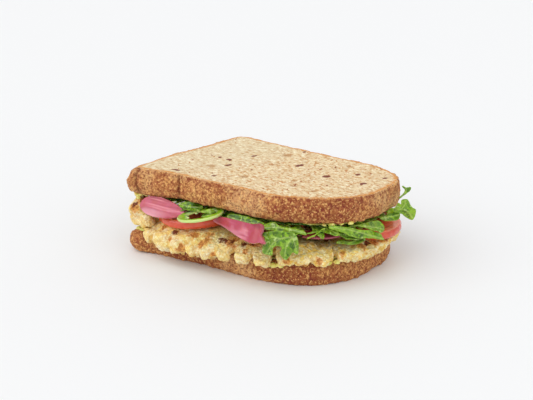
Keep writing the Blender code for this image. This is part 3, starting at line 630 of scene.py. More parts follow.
class SANDWICH_OT_bread(bpy.types.Operator):
    """Give both slices their crumb, crust and bran"""

    bl_idname = "sandwich.bread"
    bl_label = "Bread"

    def execute(self, context):
        looks = context.scene.sandwich_looks
        finish = bread_finish(looks)

        def upper_redness(points, level):
            dome = ease(points[:, 0], 5.0, 40.0) * ease(points[:, 1], 20.0, -20.0)
            pale = 0.15 + 0.5 * ease(points[:, 0], 52.0, 64.0) + 0.25 * ease(points[:, 0], -20.0, -50.0)
            return 0.8 * dome - 0.2 * ease(level, 0.75, 1.0) - pale

        def lower_redness(points, level):
            ends = ease(np.abs(points[:, 0] + 2.0), 48.0, 60.0)
            left = ease(points[:, 0], 0.0, -40.0)
            right = ease(points[:, 0], 16.0, 30.0)
            return 0.15 + 0.3 * left + 0.85 * right - 0.9 * ends - 0.2 * ease(level, 0.8, 1.0)

        upper = dress_slice("bread_upper", "upper_slice", looks, 11, UPPER_PALE, upper_redness)
        lower = dress_slice("bread_lower", "lower_slice", looks, 23, LOWER_PALE, lower_redness)
        bran = bran_finish(looks)
        for target in (upper, lower):
            draw = random.Random(target.name)
            flakes = scattered_flakes(target.name + "_bran", target, looks, draw)
            placed(flakes, bran, "bread")
        placed(upper, finish, "bread", "bread_upper")
        placed(lower, finish, "bread", "bread_lower")
        return {"FINISHED"}


# The avocado

SPREAD_VOXEL = 0.6
SPREAD_SKIN_VOXEL = 0.56
DAB_SPREAD = (1.3, 1.0, 0.7)

# Dabs squeezed out from between the layers: x, y, z, radius
LOWER_DABS = (
    (20.5, -43.8, 12.9, 1.5), (24.0, -43.8, 12.3, 1.9), (26.6, -43.6, 11.9, 1.5), (28.8, -43.2, 12.1, 2.0),
    (32.4, -42.2, 12.6, 1.6), (52.6, -28.6, 13.8, 1.4), (55.4, -25.4, 14.0, 1.5),
    (-45.6, -46.6, 11.6, 1.5), (-59.2, -45.0, 12.6, 1.6), (-55.6, -45.8, 12.9, 1.4),
)
UPPER_DABS = (
    (52.0, -25.6, 34.0, 1.6), (55.4, -22.2, 34.0, 1.3), (58.4, -18.2, 34.0, 1.5), (49.0, -28.4, 34.0, 1.2),
    (-53.4, -44.4, 33.0, 1.6), (-50.4, -43.6, 33.3, 1.4),
    (-59.4, -45.0, 32.0, 1.5), (-58.6, -45.2, 30.4, 1.4), (-60.6, -44.4, 33.2, 1.3),
    (-56.8, -45.4, 32.6, 1.2),
)


def avocado_finish(looks):
    made = Finish("mashed_avocado", 0.38, Subsurface_Weight=0.2, Subsurface_Scale=0.002)
    shade = made.layered(
        looks.avocado,
        (made.noise(2.2).between(0.3, 0.7), rgb(244, 232, 146)),
        (made.noise(2.6).between(0.52, 0.68) * 0.5, rgb(170, 176, 48)),
    )
    made.set(Base_Color=shade, Normal=made.bump(made.noise(0.7), 0.25, 0.7))
    return made


def dress_spread(node, name, dabs, seed, edge_in):
    """A spread with an uneven surface and the dabs that stand out from under the bread."""
    core = merged_copy(node, name, SPREAD_VOXEL, 1)
    shape = points_of(core)
    middle, half = box_of(node)
    share = (shape - middle) / half
    inward = edge_in * ease(lumps(shape, 5.0, seed + 2), -0.9, 0.3)
    shape[:, :2] -= share[:, :2] * inward[:, None]
    move_points(core, shape)
    balls = [
        lumpy_ball(np.array(place), radius, 3, DAB_SPREAD, 1.3, seed + i)
        for i, (*place, radius) in enumerate(dabs)
    ]
    made = grown_skin(joined(name, [core] + balls), SPREAD_SKIN_VOXEL, 2)
    points, normals = points_of(made), normals_of(made)
    move = 0.2 * lumps(points, 1.8, seed) + 0.1 * lumps(points, 0.8, seed + 1)
    edge = ease(np.abs(normals[:, 2]), 0.8, 0.4)
    push(made, points, normals, move * (0.3 + 0.7 * edge))
    return made


class SANDWICH_OT_avocado(bpy.types.Operator):
    """Spread the mashed avocado on both slices"""

    bl_idname = "sandwich.avocado"
    bl_label = "Avocado"

    def execute(self, context):
        finish = avocado_finish(context.scene.sandwich_looks)
        lower = dress_spread("avocado_lower", "lower_avocado", LOWER_DABS, 31, 0.6)
        placed(lower, finish, "avocado", "avocado_lower")
        upper = dress_spread("avocado_upper", "upper_avocado", UPPER_DABS, 37, 3.4)
        placed(upper, finish, "avocado", "avocado_upper")
        return {"FINISHED"}


# The cauliflower

CURD_PIECES = {
    "cauliflower_front_left": "front_left_curds",
    "cauliflower_front_right": "front_right_curds",
    "cauliflower_right_end": "right_end_curds",
    "cauliflower_back_left": "back_left_curds",
    "cauliflower_back_right": "back_right_curds",
    "cauliflower_floret_left": "left_floret_curds",
}
CURD_VOXEL = 0.4
CURD_NEIGHBOURS = ("bread", "avocado", "tomato", "pink", "cauliflower")
CURD_GAP = 0.15

# Spacing of the round heads, of the small curds on them and of their grains
HEAD_SIZE = 7.5
CURD_SIZE = 2.3
GRAIN_SIZE = 1.2

# Browned and charred places: x, y, z, radius
BROWNED = (
    (-24.0, -53.6, 12.3, 3.4), (-3.3, -52.2, 12.5, 2.6), (-39.0, -47.6, 18.1, 2.6), (-20.6, -46.7, 18.2, 4.0),
    (-12.0, -44.7, 18.7, 4.0), (-11.5, -49.3, 16.0, 4.4), (2.5, -44.0, 18.6, 5.5), (14.2, -47.2, 17.2, 2.2),
    (15.2, -41.5, 19.3, 4.5), (26.6, -37.1, 20.6, 3.0), (37.8, -44.6, 17.4, 2.2), (51.4, -35.4, 16.6, 2.8),
    (57.1, -23.0, 17.9, 2.4), (55.2, -11.1, 19.7, 4.0), (59.8, -9.0, 18.7, 4.0), (61.4, -0.5, 18.2, 4.0),
    (63.6, 9.2, 17.1, 3.0), (41.0, -15.0, 20.3, 6.0), (-58.9, -48.5, 26.2, 3.6), (-57.0, -45.0, 29.0, 4.0),
    (44.0, -39.0, 14.0, 2.4), (-60.0, 2.0, 19.5, 5.0), (0.0, 47.0, 19.0, 5.0), (-33.0, -51.0, 14.0, 2.0),
)
CHARRED = (
    (-2.0, -44.6, 18.4, 3.2), (3.0, -44.2, 18.6, 2.0), (9.4, -42.0, 19.2, 2.8), (14.6, -41.6, 19.4, 1.8),
    (-31.5, -47.9, 17.8, 1.9), (-59.3, -47.1, 27.3, 2.2), (-55.9, -43.9, 30.0, 3.4), (41.0, -15.6, 20.3, 4.4),
    (60.2, -4.2, 18.6, 2.2), (16.0, 46.0, 19.0, 2.0),
)


def curd_finish(looks):
    """Pale curds with toasted, browned and burnt places; painted shade in hollows and grain gaps, painted
    light on the right end.
    """
    made = Finish("roast_curd", 0.5, Specular_IOR_Level=0.3)
    sear, char, hollow, sunny = map(made.stored, ("sear", "char", "hollow", "sunny"))
    grains, ragged = made.grains(1.1), made.noise(1.0, 4.0, 0.65)
    toasted = (sear + 1.6 * ragged - 0.8).between(0.3, 0.75)
    browned = (sear + 2.2 * made.noise(1.3, 4.0, 0.65) - 1.1).between(0.62, 1.0)
    burnt = (char + 2.6 * ragged - 1.3).between(0.35, 0.85)
    golden = made.mixed(made.noise(2.6, 4.0).between(0.46, 0.58), rgb(255, 250, 196), rgb(252, 212, 74))
    shade = made.layered(
        looks.curd,
        # pale cream patches: partly the curd's own tone and partly painted highlights
        (made.noise(5.0).between(0.35, 0.65), rgb(255, 250, 212)),
        (made.noise(4.2, 4.0).between(0.48, 0.6) * 0.5, rgb(255, 224, 104)),
        # painted shade: golden brown in the hollows between heads and curds
        (hollow * 0.75, rgb(206, 150, 50)),
        # the right end made lighter and yellower: painted light together with its own yellower tone
        (sunny * 0.65, golden),
        # painted shade: darker gold in the gaps between grains
        (grains.between(0.34, 0.6) * 0.4, rgb(228, 168, 58)),
        (made.noise(1.1, 2.0).between(0.6, 0.66) * 0.5, rgb(212, 136, 52)),
        (toasted * 0.75, rgb(232, 154, 60)),
        (browned * 0.8, looks.sear),
        (burnt, rgb(118, 56, 28)),
    )
    fine = made.bump(1.0 - grains, 0.4, 0.8)
    made.set(Base_Color=shade, Normal=made.bump(made.noise(0.5), 0.1, 0.4, fine))
    return made


def dome(distance):
    """Height of a round grain over its scattered middle, 0 to 1."""
    return np.sqrt(np.clip(1.0 - (distance / 0.72) ** 2, 0.0, 1.0))


def dress_curds(node, name, looks, seed):
    """Round heads broken up into small curds, with flatter seared faces on top."""
    made = merged_copy(node, name, CURD_VOXEL, 3)
    points, normals = points_of(made), normals_of(made)
    warp = np.stack([lumps(points, 5.0, seed + k) for k in (1, 2, 3)], axis=1)
    bent = points + 0.8 * warp
    curd, number = cells(bent, CURD_SIZE, seed + 4)
    head_dome, curd_dome = dome(cells(bent, HEAD_SIZE, seed)[0]), dome(curd)
    grain_dome = dome(cells(bent, GRAIN_SIZE, seed + 5)[0])
    cut = ease(normals[:, 2], 0.955, 0.992)
    relief = in_mm(looks.curd_relief)
    move = relief * (2.7 * (head_dome - 0.55) + 1.0 * (curd_dome - 0.55) + 0.7 * (grain_dome - 0.5))
    move = move * (1.0 - 0.8 * cut) - 0.15 * cut
    others = [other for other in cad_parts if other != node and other.startswith(CURD_NEIGHBOURS)]
    move = np.minimum(move, np.maximum(0.0, room_round(points, others) - CURD_GAP))
    push(made, points, normals, move)
    patch = ease(lumps(points, 7.0, seed + 6), -0.25, 0.5)
    sear = np.maximum(0.4 * cut * patch, 0.9 * near(points, BROWNED))
    toasted = (number > 0.8) * ease(curd, 0.6, 0.2) * ease(lumps(points, 9.0, seed + 7), -0.4, 0.4)
    sear = np.maximum(sear, 0.45 * toasted)
    deep = ease(lumps(points, 4.0, seed + 8), 0.25, 0.65) * cut
    char = np.maximum(near(points, CHARRED), 0.6 * deep)
    # hollow: painted shade where heads and curds meet, weaker on faces that look up
    hollow = 1.0 - np.clip(0.75 * head_dome + 0.45 * curd_dome, 0.0, 1.0)
    hollow *= 1.0 - 0.65 * ease(normals[:, 2], 0.8, 0.97)
    # the right end, painted lighter as light and also yellower
    sunny = ease(points[:, 0] - 0.4 * points[:, 1], 34.0, 60.0)
    store(made, sear=sear, char=char, hollow=hollow, sunny=sunny)
    return made


class SANDWICH_OT_cauliflower(bpy.types.Operator):
    """Break the cauliflower's heads up into browned curds"""

    bl_idname = "sandwich.cauliflower"
    bl_label = "Cauliflower"

    def execute(self, context):
        looks = context.scene.sandwich_looks
        finish = curd_finish(looks)
        for i, (node, name) in enumerate(CURD_PIECES.items()):
            made = dress_curds(node, name, looks, 50 + 10 * i)
            placed(made, finish, "cauliflower", node)
        return {"FINISHED"}


# The tomato

TOMATO_PIECES = {f"tomato_{place}": f"{place}_tomato" for place in ("left", "middle", "right", "back")}
TOMATO_VOXEL = 0.5
SEED_HOLLOWS = 5.0
HOLLOW_DEPTH = 0.6


def tomato_finish(looks):
    made = Finish("wet_tomato", 0.22, Subsurface_Weight=0.3, Subsurface_Scale=0.003, Coat_Weight=0.4)
    flesh = made.layered(
        looks.tomato_flesh,
        (made.noise(2.5).between(0.3, 0.7), rgb(242, 148, 104)),
        (made.stored("hollow") * 0.7, rgb(216, 80, 50)),
    )
    skin = made.mixed(made.noise(6.0, 2.0).between(0.35, 0.65), looks.tomato_skin, rgb(222, 92, 60))
    shade = made.mixed(made.stored("skin"), flesh, skin)
    made.set(Base_Color=shade, Normal=made.bump(made.noise(1.4, 2.0), 0.12, 0.5))
    return made


def dress_tomato(node, name, seed):
    """A slice with a smooth skin at its rim and seed hollows in its cut faces."""
    made = merged_copy(node, name, TOMATO_VOXEL, 5)
    points, normals = points_of(made), normals_of(made)
    middle, half = box_of(node)
    x, y, _ = (points - middle).T
    away, turn = np.hypot(x, y) / half[0], np.arctan2(y, x)
    skin = ease(np.abs(normals[:, 2]), 0.8, 0.55) * ease(away, 0.85, 0.93)
    hollow = ease(away, 0.84, 0.74) * ease(away, 0.24, 0.36)
    hollow *= ease(np.cos(SEED_HOLLOWS * turn + seed), -0.5, 0.1)
    flat = ease(np.abs(normals[:, 2]), 0.7, 0.9)
    push(made, points, normals, -HOLLOW_DEPTH * hollow * flat + 0.12 * lumps(points, 2.2, seed) * flat)
    store(made, skin=skin, hollow=hollow)
    return made


class SANDWICH_OT_tomato(bpy.types.Operator):
    """Finish the tomato slices"""

    bl_idname = "sandwich.tomato"
    bl_label = "Tomato"

    def execute(self, context):
        finish = tomato_finish(context.scene.sandwich_looks)
        for i, (node, name) in enumerate(TOMATO_PIECES.items()):
            placed(dress_tomato(node, name, 130 + i), finish, "tomato", node)
        return {"FINISHED"}


# The onion

# Each petal's piece, and how much deeper its colour is, 0 to 1
ONION_PIECES = {
    "pink_onion_left": ("left_onion", 0.1),
    "pink_onion_middle": ("middle_onion", 0.25),
    # the right petal, under the leaves, is deep red: partly its own colour and partly painted shade
    "pink_onion_right": ("right_onion", 0.85),
    "pink_onion_back": ("back_onion", 0.2),
}
ONION_VOXEL = 0.3
PETAL_SPACING = 0.9
PETAL_THICKNESS = 2.2
STREAK_WIDTH = 0.8
STREAK_LENGTH = 14.0

# The two petals in front, given in the same way as FLAT_LEAVES further down
PETALS = {
    "pink_onion_left": {
        "middle": (-40.0, -50.4, 28.7), "along": (25.4, 2.4, -0.4), "down": (0.1, -0.5, -0.86),
        "outline": (
            (-12.5, 0.1), (-12.0, -3.4), (-8.4, -6.2), (-2.6, -7.0), (3.5, -6.6), (9.8, -5.0), (14.3, -3.0),
            (14.6, -1.4), (11.8, 0.9), (7.7, 2.5), (3.5, 3.4), (-3.0, 3.9), (-8.8, 2.8)),
        "bow": 1.2,
    },
    "pink_onion_middle": {
        "middle": (12.0, -51.3, 29.8), "along": (30.2, -6.2, 2.2), "down": (0.1, -0.5, -0.86),
        "outline": (
            (-19.6, -1.2), (-15.7, -4.1), (-7.1, -4.9), (1.6, -5.1), (10.0, -5.7), (15.0, -6.7), (16.8, -4.1),
            (16.7, -1.3), (20.7, 1.6), (20.2, 2.6), (16.7, 2.7), (13.6, 3.8), (7.9, 3.9), (2.4, 3.1),
            (-4.9, 1.4), (-12.2, 0.1)),
        "bow": 0.6,
    },
}


def onion_finish(looks):
    made = Finish("pickled_onion", 0.25, Subsurface_Weight=0.15, Subsurface_Scale=0.002, Coat_Weight=0.4)
    line, pale, deep = map(made.stored, ("line", "pale", "deep"))
    shade = made.layered(
        looks.onion,
        (made.noise(4.0, 2.0).between(0.3, 0.7), rgb(190, 66, 78)),
        (deep, rgb(148, 28, 52)),
        (line.between(0.5, 0.85) * 0.6, rgb(232, 146, 158)),
        (line.between(0.5, 0.15) * 0.55, rgb(150, 34, 62)),
        (pale * 0.7, rgb(236, 176, 190)),
    )
    made.set(Base_Color=shade, Normal=made.bump(made.noise(0.9, 2.0), 0.08, 0.4))
    return made


def petal_skin(node, name):
    """A thick petal with round edges, from its outline."""
    petal = PETALS[node]
    made = leaf_sheet(name, petal["outline"], PETAL_SPACING)
    place = on_plane(petal)
    move_points(made, np.array([place(u, v, 0.0) for u, v, _ in points_of(made)]))
    thicken(made, PETAL_THICKNESS)
    return grown_skin(made, ONION_VOXEL, 9)


def dress_onion(node, name, depth, seed):
    """A petal with fine lengthwise ribs, a paler cut rim and a deeper upper edge."""
    made = petal_skin(node, name) if node in PETALS else merged_copy(node, name, ONION_VOXEL, 4)
    points, normals = points_of(made), normals_of(made)
    middle, axes = own_axes(points, 7)
    along = (points - middle) @ axes[0]
    across = (points - middle) @ axes[1]
    if axes[1][2] > 0.0:
        across = -across
    bent = across + 0.7 * lumps(points, 9.0, seed + 1)
    lanes = np.stack([bent / STREAK_WIDTH, along / STREAK_LENGTH, np.full(len(points), float(seed))], axis=1)
    line = 0.5 + 0.5 * lumps(lanes, 1.0, seed) * ease(lumps(points, 6.0, seed + 4), -0.7, 0.3)
    rim = ease(np.abs(normals @ axes[2]), 0.6, 0.3)
    low_edge = ease(across + 0.9 * lumps(points, 4.0, seed + 3), 0.6, 3.4) * ease(along, 8.0, -4.0)
    top_edge = ease(across + 1.2 * lumps(points, 5.0, seed + 5), -2.6, -5.2)
    move = 0.1 * (line - 0.5) * (1.0 - rim) + 0.2 * lumps(points, 3.4, seed + 2)
    push(made, points, normals, move)
    pale = np.clip(0.35 * rim + 0.75 * low_edge, 0.0, 1.0) * (1.0 - depth)
    store(made, line=line, pale=pale, deep=np.clip(0.75 * top_edge + depth, 0.0, 0.9))
    return made


class SANDWICH_OT_onion(bpy.types.Operator):
    """Finish the pieces of pickled onion"""

    bl_idname = "sandwich.onion"
    bl_label = "Pickled onion"

    def execute(self, context):
        finish = onion_finish(context.scene.sandwich_looks)
        for i, (node, (name, depth)) in enumerate(ONION_PIECES.items()):
            placed(dress_onion(node, name, depth, 150 + 5 * i), finish, "pickled_onion", node)
        return {"FINISHED"}


# The chilli

CHILLI_VOXEL = 0.26

# Lobes of pith inside the ring: the turn round it, how far out, and the radius
PITH_LOBES = ((0.3, 8.0, 1.1), (2.3, 8.2, 1.0), (3.7, 7.8, 1.2), (5.2, 8.4, 0.9))


def chilli_finish(looks):
    made = Finish("green_chilli", 0.2, Subsurface_Weight=0.25, Subsurface_Scale=0.002, Coat_Weight=0.5)
    shade = made.layered(
        looks.chilli,
        (made.noise(1.6, 2.0).between(0.3, 0.7), rgb(156, 214, 30)),
        # painted highlight: the outward skin is made pale
        (made.stored("skin"), rgb(196, 222, 128)),
        (made.stored("pith") * 0.8, rgb(214, 236, 160)),
    )
    made.set(Base_Color=shade, Normal=made.bump(made.noise(0.8, 2.0), 0.08, 0.4))
    return made


def dress_chilli(name, seed):
    """The ring: a glossy skin outside painted pale as a highlight, a pale lining and lobes of pith inside."""
    ring = merged_copy("chilli_ring", name, CHILLI_VOXEL, 5)
    middle, axes = own_axes(points_of(ring), 5)
    lobes = []
    for turn, reach, radius in PITH_LOBES:
        place = middle + reach * (math.cos(turn) * axes[0] + math.sin(turn) * axes[1])
        lobes.append(lumpy_ball(place, radius, 2, (1.0, 1.0, 1.0), 1.2, 7))
    made = grown_skin(joined(name, [ring] + lobes), CHILLI_VOXEL, 3)
    points, normals = points_of(made), normals_of(made)
    middle, axes = own_axes(points, 5)
    flat = points - middle
    flat = flat - np.outer(flat @ axes[2], axes[2])
    reach = np.linalg.norm(flat, axis=1)
    outward = np.einsum("ij,ij->i", normals, flat / reach[:, None])
    # skin: the outward faces, which the finish paints pale as a highlight
    skin = ease(outward, 0.35, 0.75)
    pith = np.maximum(ease(outward, -0.2, -0.7), ease(reach, 9.6, 8.8))
    up = axes[2] if axes[2][2] > 0.0 else -axes[2]
    height = (points - middle) @ up
    points = points + np.outer(0.45 * (height.max() - height), up)
    points = points - flat * (0.15 * ease(reach, 12.0, 9.4))[:, None]
    push(made, points, normals, 0.12 * lumps(points, 1.6, seed))
    store(made, skin=skin, pith=pith)
    return made


class SANDWICH_OT_chilli(bpy.types.Operator):
    """Finish the ring of green chilli"""

    bl_idname = "sandwich.chilli"
    bl_label = "Green chilli"

    def execute(self, context):
        finish = chilli_finish(context.scene.sandwich_looks)
        placed(dress_chilli("green_chilli_ring", 171), finish, "green_chilli", "chilli_ring")
        return {"FINISHED"}


# The rocket leaves

LEAF_SPACING = 0.42
SMALL_LEAF_SPACING = 0.7
LEAF_THICKNESS = 0.4
LEAF_CUP = 0.06
VEIN_WIDTH = 0.26
SIDE_VEIN_SPACING = 3.1
LAYER_VOXEL = 0.6
LAYER_SQUARENESS = 3.2

# Leaves seen broadside. Each has the middle of its plane, the directions along and down it,
# its outline and its veins as (along, down), how far it bows and how light it is
FLAT_LEAVES = {
    "rocket_leaf_hanging": {
        "middle": (36.0, -48.9, 29.6), "along": (0.89, 0.455, 0.0), "down": (0.1, -0.35, -0.93),
        "outline": (
            (-9.5, -2.7), (-3.1, -4.3), (5.3, -4.4), (7.9, -3.3), (9.5, 0.1), (9.7, 3.6), (9.4, 6.7),
            (7.1, 5.8), (5.9, 7.2), (4.5, 9.3), (3.3, 9.7), (1.6, 8.1), (0.7, 6.5), (1.5, 4.4),
            (0.5, 3.2), (-2.1, 3.3), (-3.1, 4.6), (-3.0, 7.7), (-5.7, 7.7), (-8.2, 6.8), (-8.2, 3.6),
            (-7.0, 1.7), (-7.8, -0.9)),
        "veins": (
            ((6.2, -1.9), (0.3, -0.7), (-3.1, 1.8), (-5.8, 6.1)),
            ((6.2, -1.9), (5.2, 0.7), (3.4, 3.6), (3.2, 8.1)),
            ((6.2, -1.9), (7.8, 1.5), (9.0, 5.2)), ((0.3, -0.7), (-4.2, -1.4))),
        "bow": 0.9, "tone": 0.55,
    },
    "rocket_leaf_upper": {
        "middle": (36.0, -43.6, 32.2), "along": (0.93, 0.36, 0.0), "down": (0.0, -0.8, -0.6),
        "outline": (
            (-12.6, -1.6), (-9.8, -4.5), (-6.2, -4.7), (-3.9, -3.2), (-0.5, -2.8), (4.9, -2.3),
            (9.3, -1.6), (10.9, 0.0), (8.6, 0.3), (5.3, -0.1), (1.6, -0.6), (-3.3, 0.1), (-7.9, 0.0)),
        "veins": (((-12.2, -1.4), (-3.7, -2.1), (4.8, -1.2), (10.4, -0.7)),),
        "bow": 0.6, "tone": 0.6,
    },
    "rocket_leaf_long": {
        "middle": (62.0, -16.0, 28.5), "along": (16.6, 27.4, -10.2), "down": (0.5, -0.2, -0.8),
        "outline": (
            (-16.4, -1.5), (-9.7, -2.1), (-2.9, -2.1), (2.6, -2.0), (7.5, -2.7), (12.7, -1.9),
            (15.9, 0.9), (12.6, 1.4), (7.4, 1.5), (1.1, 2.6), (-4.7, 2.3), (-9.7, 0.8), (-16.5, 0.1)),
        "veins": (((-16.5, -0.8), (-8.0, -1.0), (0.5, -0.4), (9.1, 0.3), (15.7, 0.8)),),
        "bow": 0.5, "tone": 0.75,
    },
    "rocket_leaf_under": {
        "middle": (56.0, -23.6, 27.4), "along": (14.0, 14.0, -5.8), "down": (0.6, -0.4, -0.7),
        "outline": (
            (-5.4, -2.8), (-0.7, -3.5), (3.9, -3.1), (8.7, -2.2), (10.3, -1.7), (7.2, 0.2),
            (2.5, -0.1), (-2.2, -0.9), (-5.3, -1.3)),
        "veins": (((-5.3, -2.1), (2.4, -1.6), (9.6, -1.5)),),
        "bow": 0.3, "tone": 0.4,
    },
    "rocket_leaf_low": {
        "middle": (58.4, -17.6, 23.0), "along": (8.0, 13.6, -1.4), "down": (0.7, -0.3, -0.6),
        "outline": (
            (-7.7, -0.7), (-5.5, -2.0), (0.5, -1.2), (5.7, -1.9), (9.0, -3.0), (8.9, -0.8),
            (6.1, 0.7), (1.3, 1.1), (-5.0, 0.5)),
        "veins": (((-7.2, -0.8), (0.1, -0.2), (8.6, -1.9)),),
        "bow": 0.3, "tone": 0.6,
    },
    "rocket_leaf_right": {
        "middle": (63.0, -7.0, 30.0), "along": (8.5, 16.4, -2.2), "down": (0.7, 0.0, -0.6),
        "outline": (
            (-11.8, -0.4), (-6.5, -1.0), (-1.5, -1.7), (2.2, -2.4), (5.4, -2.4), (7.7, -1.2),
            (8.5, 0.8), (7.8, 3.1), (5.9, 4.5), (3.4, 4.0), (-0.1, 2.4), (-4.3, 0.7), (-8.4, -0.3)),
        "veins": (((-11.5, -0.3), (-5.4, -0.1), (0.4, 0.8), (7.4, 2.6)),),
        "bow": 0.5, "tone": 0.65,
    },
    "rocket_leaf_end": {
        "middle": (65.8, 9.4, 30.2), "along": (7.6, 11.0, 0.0), "down": (0.8, -0.2, -0.5),
        "outline": (
            (-6.2, 0.0), (-2.5, -1.3), (2.1, -2.3), (5.1, -2.6), (5.5, -0.5), (4.4, 1.6),
            (2.2, 2.8), (-1.0, 2.7), (-4.2, 1.5)),
        "veins": (((-5.9, 0.1), (-0.1, 0.2), (5.0, -0.5)),),
        "bow": 0.4, "tone": 0.45,
    },
    "rocket_leaf_out": {
        "middle": (71.5, 18.0, 31.5), "along": (0.8156, 0.5786, 0.0), "down": (-0.1, 0.15, -0.98),
        "outline": (
            (-7.2, -2.4), (-5.6, -5.2), (-4.2, -4.4), (-4.1, -7.0), (-1.4, -7.7), (-0.1, -6.2),
            (1.0, -3.6), (2.3, -2.0), (3.7, -1.0), (3.8, 1.3), (3.2, 3.4), (2.1, 4.9), (0.3, 4.5),
            (-1.7, 3.2), (-3.4, 1.7), (-5.2, 1.6), (-7.2, 3.2), (-10.4, 3.2), (-11.2, 0.8), (-9.6, -1.8)),
        "veins": (
            ((-7.0, -1.0), (-3.6, -1.7), (-0.5, -0.3), (2.1, 3.6)),
            ((-3.6, -1.7), (-2.2, -4.5), (-2.0, -7.1))),
        "bow": 0.7, "tone": 0.9,
    },
    "rocket_leaf_tip": {
        "middle": (67.0, 20.5, 38.0), "along": (0.8156, 0.5786, 0.0), "down": (0.0, 0.1, -0.99),
        "outline": (
            (-2.9, 0.7), (-0.1, -2.5), (0.2, -4.2), (-1.2, -6.0), (-0.7, -6.4), (1.1, -5.3),
            (3.0, -5.7), (3.5, -4.9), (2.9, -3.5), (1.2, -2.0), (-1.2, 0.0), (-2.4, 1.0)),
        "veins": (((-2.7, 0.9), (0.6, -2.3), (1.0, -4.6)),),
        "bow": 0.2, "tone": 0.5,
    },
}

# Leaves along a curved spine: the spine, the direction across it, the width, the kind and the tone
CURVED_LEAVES = {
    "rocket_leaf_left": (
        ((-17.5, -41.8, 32.6), (-24.0, -44.9, 32.9), (-30.5, -45.8, 32.9)),
        (0.2, -0.8, -0.6), 5.4, "plain", 0.3),
    "rocket_leaf_folded": (
        ((-8.2, -43.8, 33.2), (-9.6, -46.6, 34.0), (-12.6, -49.8, 33.8)),
        (0.4, -0.5, -0.75), 2.5, "plain", 1.0),
    "rocket_leaf_middle": (
        ((0.6, -44.8, 33.2), (7.4, -46.4, 33.4), (14.9, -46.2, 33.5), (23.9, -44.7, 33.8)),
        (0.0, -0.6, -0.8), 5.6, "plain", 0.2),
    "rocket_stem": (
        ((51.0, -30.8, 33.2), (49.6, -36.4, 31.6), (47.8, -41.4, 30.9)), (0.6, -0.4, 0.7), 2.0, "stem", 0.9),
    "rocket_leaf_back": (
        ((12.0, 46.6, 24.8), (2.0, 49.4, 24.0), (-8.0, 51.0, 21.8)), (0.0, 0.9, -0.5), 9.0, "lobed", 0.5),
    "rocket_leaf_back_left": (
        ((-30.0, 46.8, 25.0), (-39.0, 49.4, 24.4), (-48.0, 51.6, 22.6)),
        (0.0, 0.9, -0.45), 8.0, "plain", 0.4),
    "rocket_leaf_flat_end": (
        ((-60.4, 2.0, 27.8), (-63.0, 12.0, 27.0), (-65.0, 21.0, 24.8)),
        (-0.9, 0.0, -0.45), 9.0, "lobed", 0.5),
}


def spline_point(p0, p1, p2, p3, t):
    """The point at share t of the way from p1 to p2, on a smooth curve through all four."""
    return 0.5 * (
        2 * p1 + (p2 - p0) * t + (2 * p0 - 5 * p1 + 4 * p2 - p3) * t * t
        + (3 * p1 - p0 - 3 * p2 + p3) * t * t * t
    )


def curve_point(points, s):
    """The point at share s of a smooth curve through points."""
    spans = len(points) - 1
    k = min(int(s * spans), spans - 1)
    t = s * spans - k
    p1, p2 = Vector(points[k]), Vector(points[k + 1])
    p0 = Vector(points[k - 1]) if k > 0 else 2 * p1 - p2
    p3 = Vector(points[k + 2]) if k + 2 <= spans else 2 * p2 - p1
    return spline_point(p0, p1, p2, p3, t)


def closed_curve(points, spacing):
    """A smooth closed line through points, with its own points about spacing apart."""
    count = len(points)
    line = []
    for k in range(count):
        around = [points[(k + i) % count] for i in (-1, 0, 1, 2)]
        steps = max(1, round(math.dist(around[1], around[2]) / spacing))
        line += [spline_point(*around, i / steps) for i in range(steps)]
    return line


def blade_outline(length, width, kind, draw):
    """The outline of a leaf along its midrib, from its stalk at (0, 0), as (along, across)."""
    def half(s, side):
        if kind == "stem":
            return 0.5 - 0.2 * s
        if kind == "plain":
            return 0.5 * max(0.12, math.sin(math.pi * min(1.0, 0.06 + 0.92 * s)) ** 0.7)
        body = 0.18 + 0.34 * math.sin(math.pi * min(1.0, 0.1 + 0.78 * s))
        lobe = 0.5 + 0.5 * math.cos(2.0 * math.pi * (3.4 * s + shift[side]))
        return body * (1.0 - 0.62 * lobe) if 0.1 < s < 0.72 else body

    shift = {1: draw.uniform(0.0, 0.5), -1: draw.uniform(0.0, 0.5)}
    count = 26 if kind == "lobed" else 9
    shares = [i / count for i in range(count + 1)]
    near_side = [(length * s, width * half(s, 1)) for s in shares]
    far_side = [(length * s, -width * half(s, -1)) for s in reversed(shares)]
    return near_side + far_side


def inside(point, line):
    """Whether a flat point lies inside a closed line."""
    found = False
    for i in range(len(line)):
        a, b = line[i - 1], line[i]
        if (a[1] > point[1]) != (b[1] > point[1]):
            if point[0] < a[0] + (b[0] - a[0]) * (point[1] - a[1]) / (b[1] - a[1]):
                found = not found
    return found


